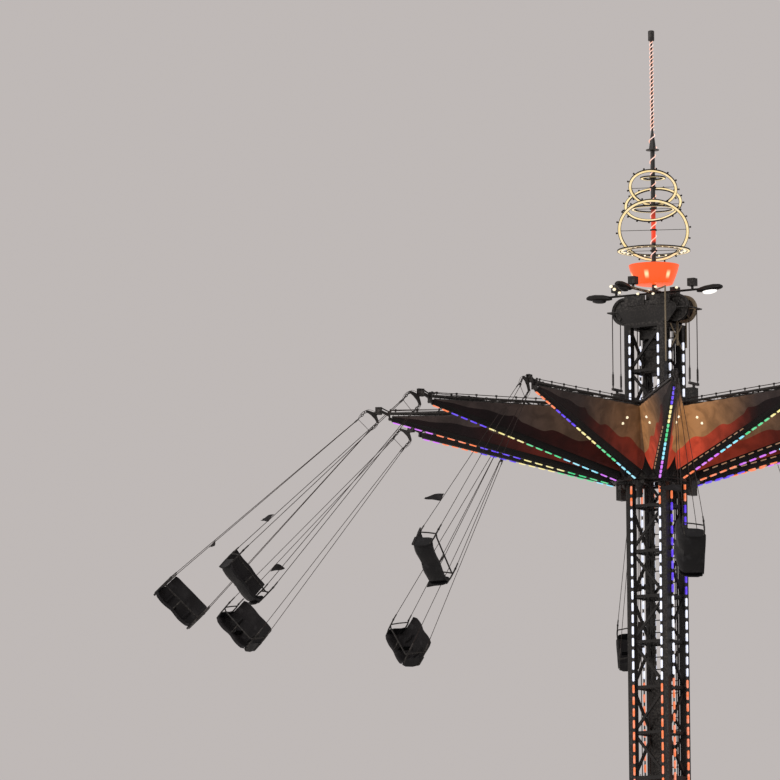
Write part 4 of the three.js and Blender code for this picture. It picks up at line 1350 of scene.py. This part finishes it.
def pennant_shape():
    """A small weathered pennant that flies from a rope above each chair."""
    front, back = [], []
    rows, columns = 8, 12
    length, height, thick = 0.49, 0.25, 0.004
    for row in range(rows + 1):
        t = row / rows
        line = []
        for column in range(columns + 1):
            s = column / columns
            x = 0.03 * math.sin(s * 5.5) * s + 0.012 * math.sin(t * 5 + s * 3)
            z = height * (1 - 0.75 * s ** 1.6) * (0.5 - t) + 0.03 * s
            line.append(Vector((x, -length * s, z)))
        front.append(line)
        back.append([spot + Vector((thick, 0, 0)) for spot in line])
    return double_skin(front, back, 0, 0)


def add_swings():
    """Each arm's hanger, chair and pennant; the copies share their meshes."""
    top = Vector((LINK_X, -0.04, ROPE_TOP))
    foot = Vector((CHAIR_POST, -0.23, ROPE_END))
    pennant_spot = top.lerp(foot, 0.78) + Vector((0, -0.010, 0))
    hanger = make_mesh("hanger_ropes_01", hanger_shape(), [ARM_PAINT, GALVANISED, ROPE_WIRE])
    chair = make_mesh("double_chair_01", chair_shape(), [CHAIR_SHELL, CHAIR_PAD, MACHINE_PAINT])
    pennant = make_mesh("pennant_01", pennant_shape(), [CHAIR_PAD])
    for arm, arm_place in enumerate(ARM_PLACES):
        number = f"{arm + 1:02d}"
        body = "swing_" + number
        place = arm_place @ Matrix.Translation(PIVOT) @ turned_by(-SWING_OUT, "Y")
        settle(link("hanger_ropes_" + number, hanger, place), body, ("hanger_" + number,))
        settle(link("double_chair_" + number, chair, place), body, ("chair_" + number,))
        flag = link("pennant_" + number, pennant, place @ Matrix.Translation(pennant_spot))
        settle(flag, body)


# The base: jack screws, lugs and bolts on the outriggers

def add_base_details():
    """A jack screw and its nut, lugs and bolts on each of the four legs."""
    shape = Shape()
    foot, screw_low, turns, pitch = 4.37, 0.52, 14, 0.018
    screw = [(foot, 0, screw_low)] + [(foot, 0, screw_low + step * pitch / 2) for step in range(2 * turns)]
    shape.add(tube(screw, [0.07] + [0.066, 0.075] * turns, 16), 1)
    shape.add(tube([(foot, 0, 0.76), (foot, 0, 0.8)], 0.1, 6), 1)
    for x in (2.2, 3.1, 4.0):
        for y in (-0.165, 0.165):
            shape.add(centred_block((x, y, 0.35), (0.06, 0.03, 0.3)))
    for x in (1.4, 2.0):
        for y in (-0.11, 0.11):
            shape.add(tube([(x, y, 0.5), (x, y, 0.535)], 0.03, 6), 1)
    legs = shape.repeated([turned_by(math.pi / 4, "Z") @ place for place in QUARTERS])
    make_piece("jack_screws_and_lugs", legs, [MACHINE_PAINT, GALVANISED], "tower", bevel=0.003)


# Camera, light and floor

def set_camera():
    """The photographer's stand, aim and lens, found by fitting the arm tips."""
    stand = at(81.5, -148.2, 1.74)
    lens_pixels, photo_pixels = 6995, 780
    heading, pitch, roll = math.radians(31.0), math.radians(7.65), math.radians(0.40)
    flat = math.cos(pitch)
    forward = Vector((-math.sin(heading) * flat, math.cos(heading) * flat, math.sin(pitch)))
    right = forward.cross(Vector((0, 0, 1))).normalized()
    up = right.cross(forward)
    tilted_right = right * math.cos(roll) - up * math.sin(roll)
    tilted_up = right * math.sin(roll) + up * math.cos(roll)
    aim = Matrix((tilted_right, tilted_up, -forward)).transposed().to_4x4()
    data = bpy.data.cameras.new("Camera")
    data.sensor_width = 36
    data.lens = data.sensor_width * lens_pixels / photo_pixels
    data.clip_end = 1000
    bpy.context.scene.camera = link("Camera", data, stand @ aim)


def add_sun(name, azimuth, elevation, strength, spread, colour):
    sun = bpy.data.lights.new(name, "SUN")
    sun.energy = strength
    sun.angle = math.radians(spread)
    sun.color = colour
    link(name, sun).rotation_euler = (math.radians(90 - elevation), 0, math.radians(azimuth))


def set_stage():
    size = 200
    mesh = bpy.data.meshes.new("floor")
    outline = [(-size, -size, 0), (size, -size, 0), (size, size, 0), (-size, size, 0)]
    mesh.from_pydata(outline, [], [(0, 1, 2, 3)])
    mesh.materials.append(plain_ground())
    link("floor", mesh)
    world = bpy.data.worlds.new("Studio")
    bpy.context.scene.world = world
    world.use_nodes = True
    sky = world.node_tree.nodes["Background"]
    sky.inputs["Color"].default_value = (0.84, 0.78, 0.76, 1)
    sky.inputs["Strength"].default_value = 0.62
    add_sun("Key light", 15, 35, 0.9, 25, (1, 0.97, 0.93))
    add_sun("Low light", -40, 10, 0.8, 40, (1, 0.93, 0.88))
    bpy.context.scene.view_settings.view_transform = "Standard"


set_camera()
set_stage()
for node in ("tower_section_1", "tower_section_2", "tower_section_3"):
    refinish(node, TOWER_PAINT)
for node in ("base_frame", "cable_column", "tower_head", "carriage", "star_hub"):
    refinish(node, MACHINE_PAINT)
for arm in range(ARMS):
    refinish(f"arm_{arm + 1:02d}", ARM_PAINT)
add_tower_lights()
add_tower_inside()
add_joint_bolts()
add_hoist_drive()
add_sheaves()
add_floodlights()
add_head_lights()
add_bowl()
add_mast()
add_rings()
add_hoops()
add_hoist_ropes()
add_carriage_details()
add_canopy()
add_arm_lights()
add_arm_rails()
add_nose_bolts()
add_valley_lamps()
add_swings()
add_base_details()
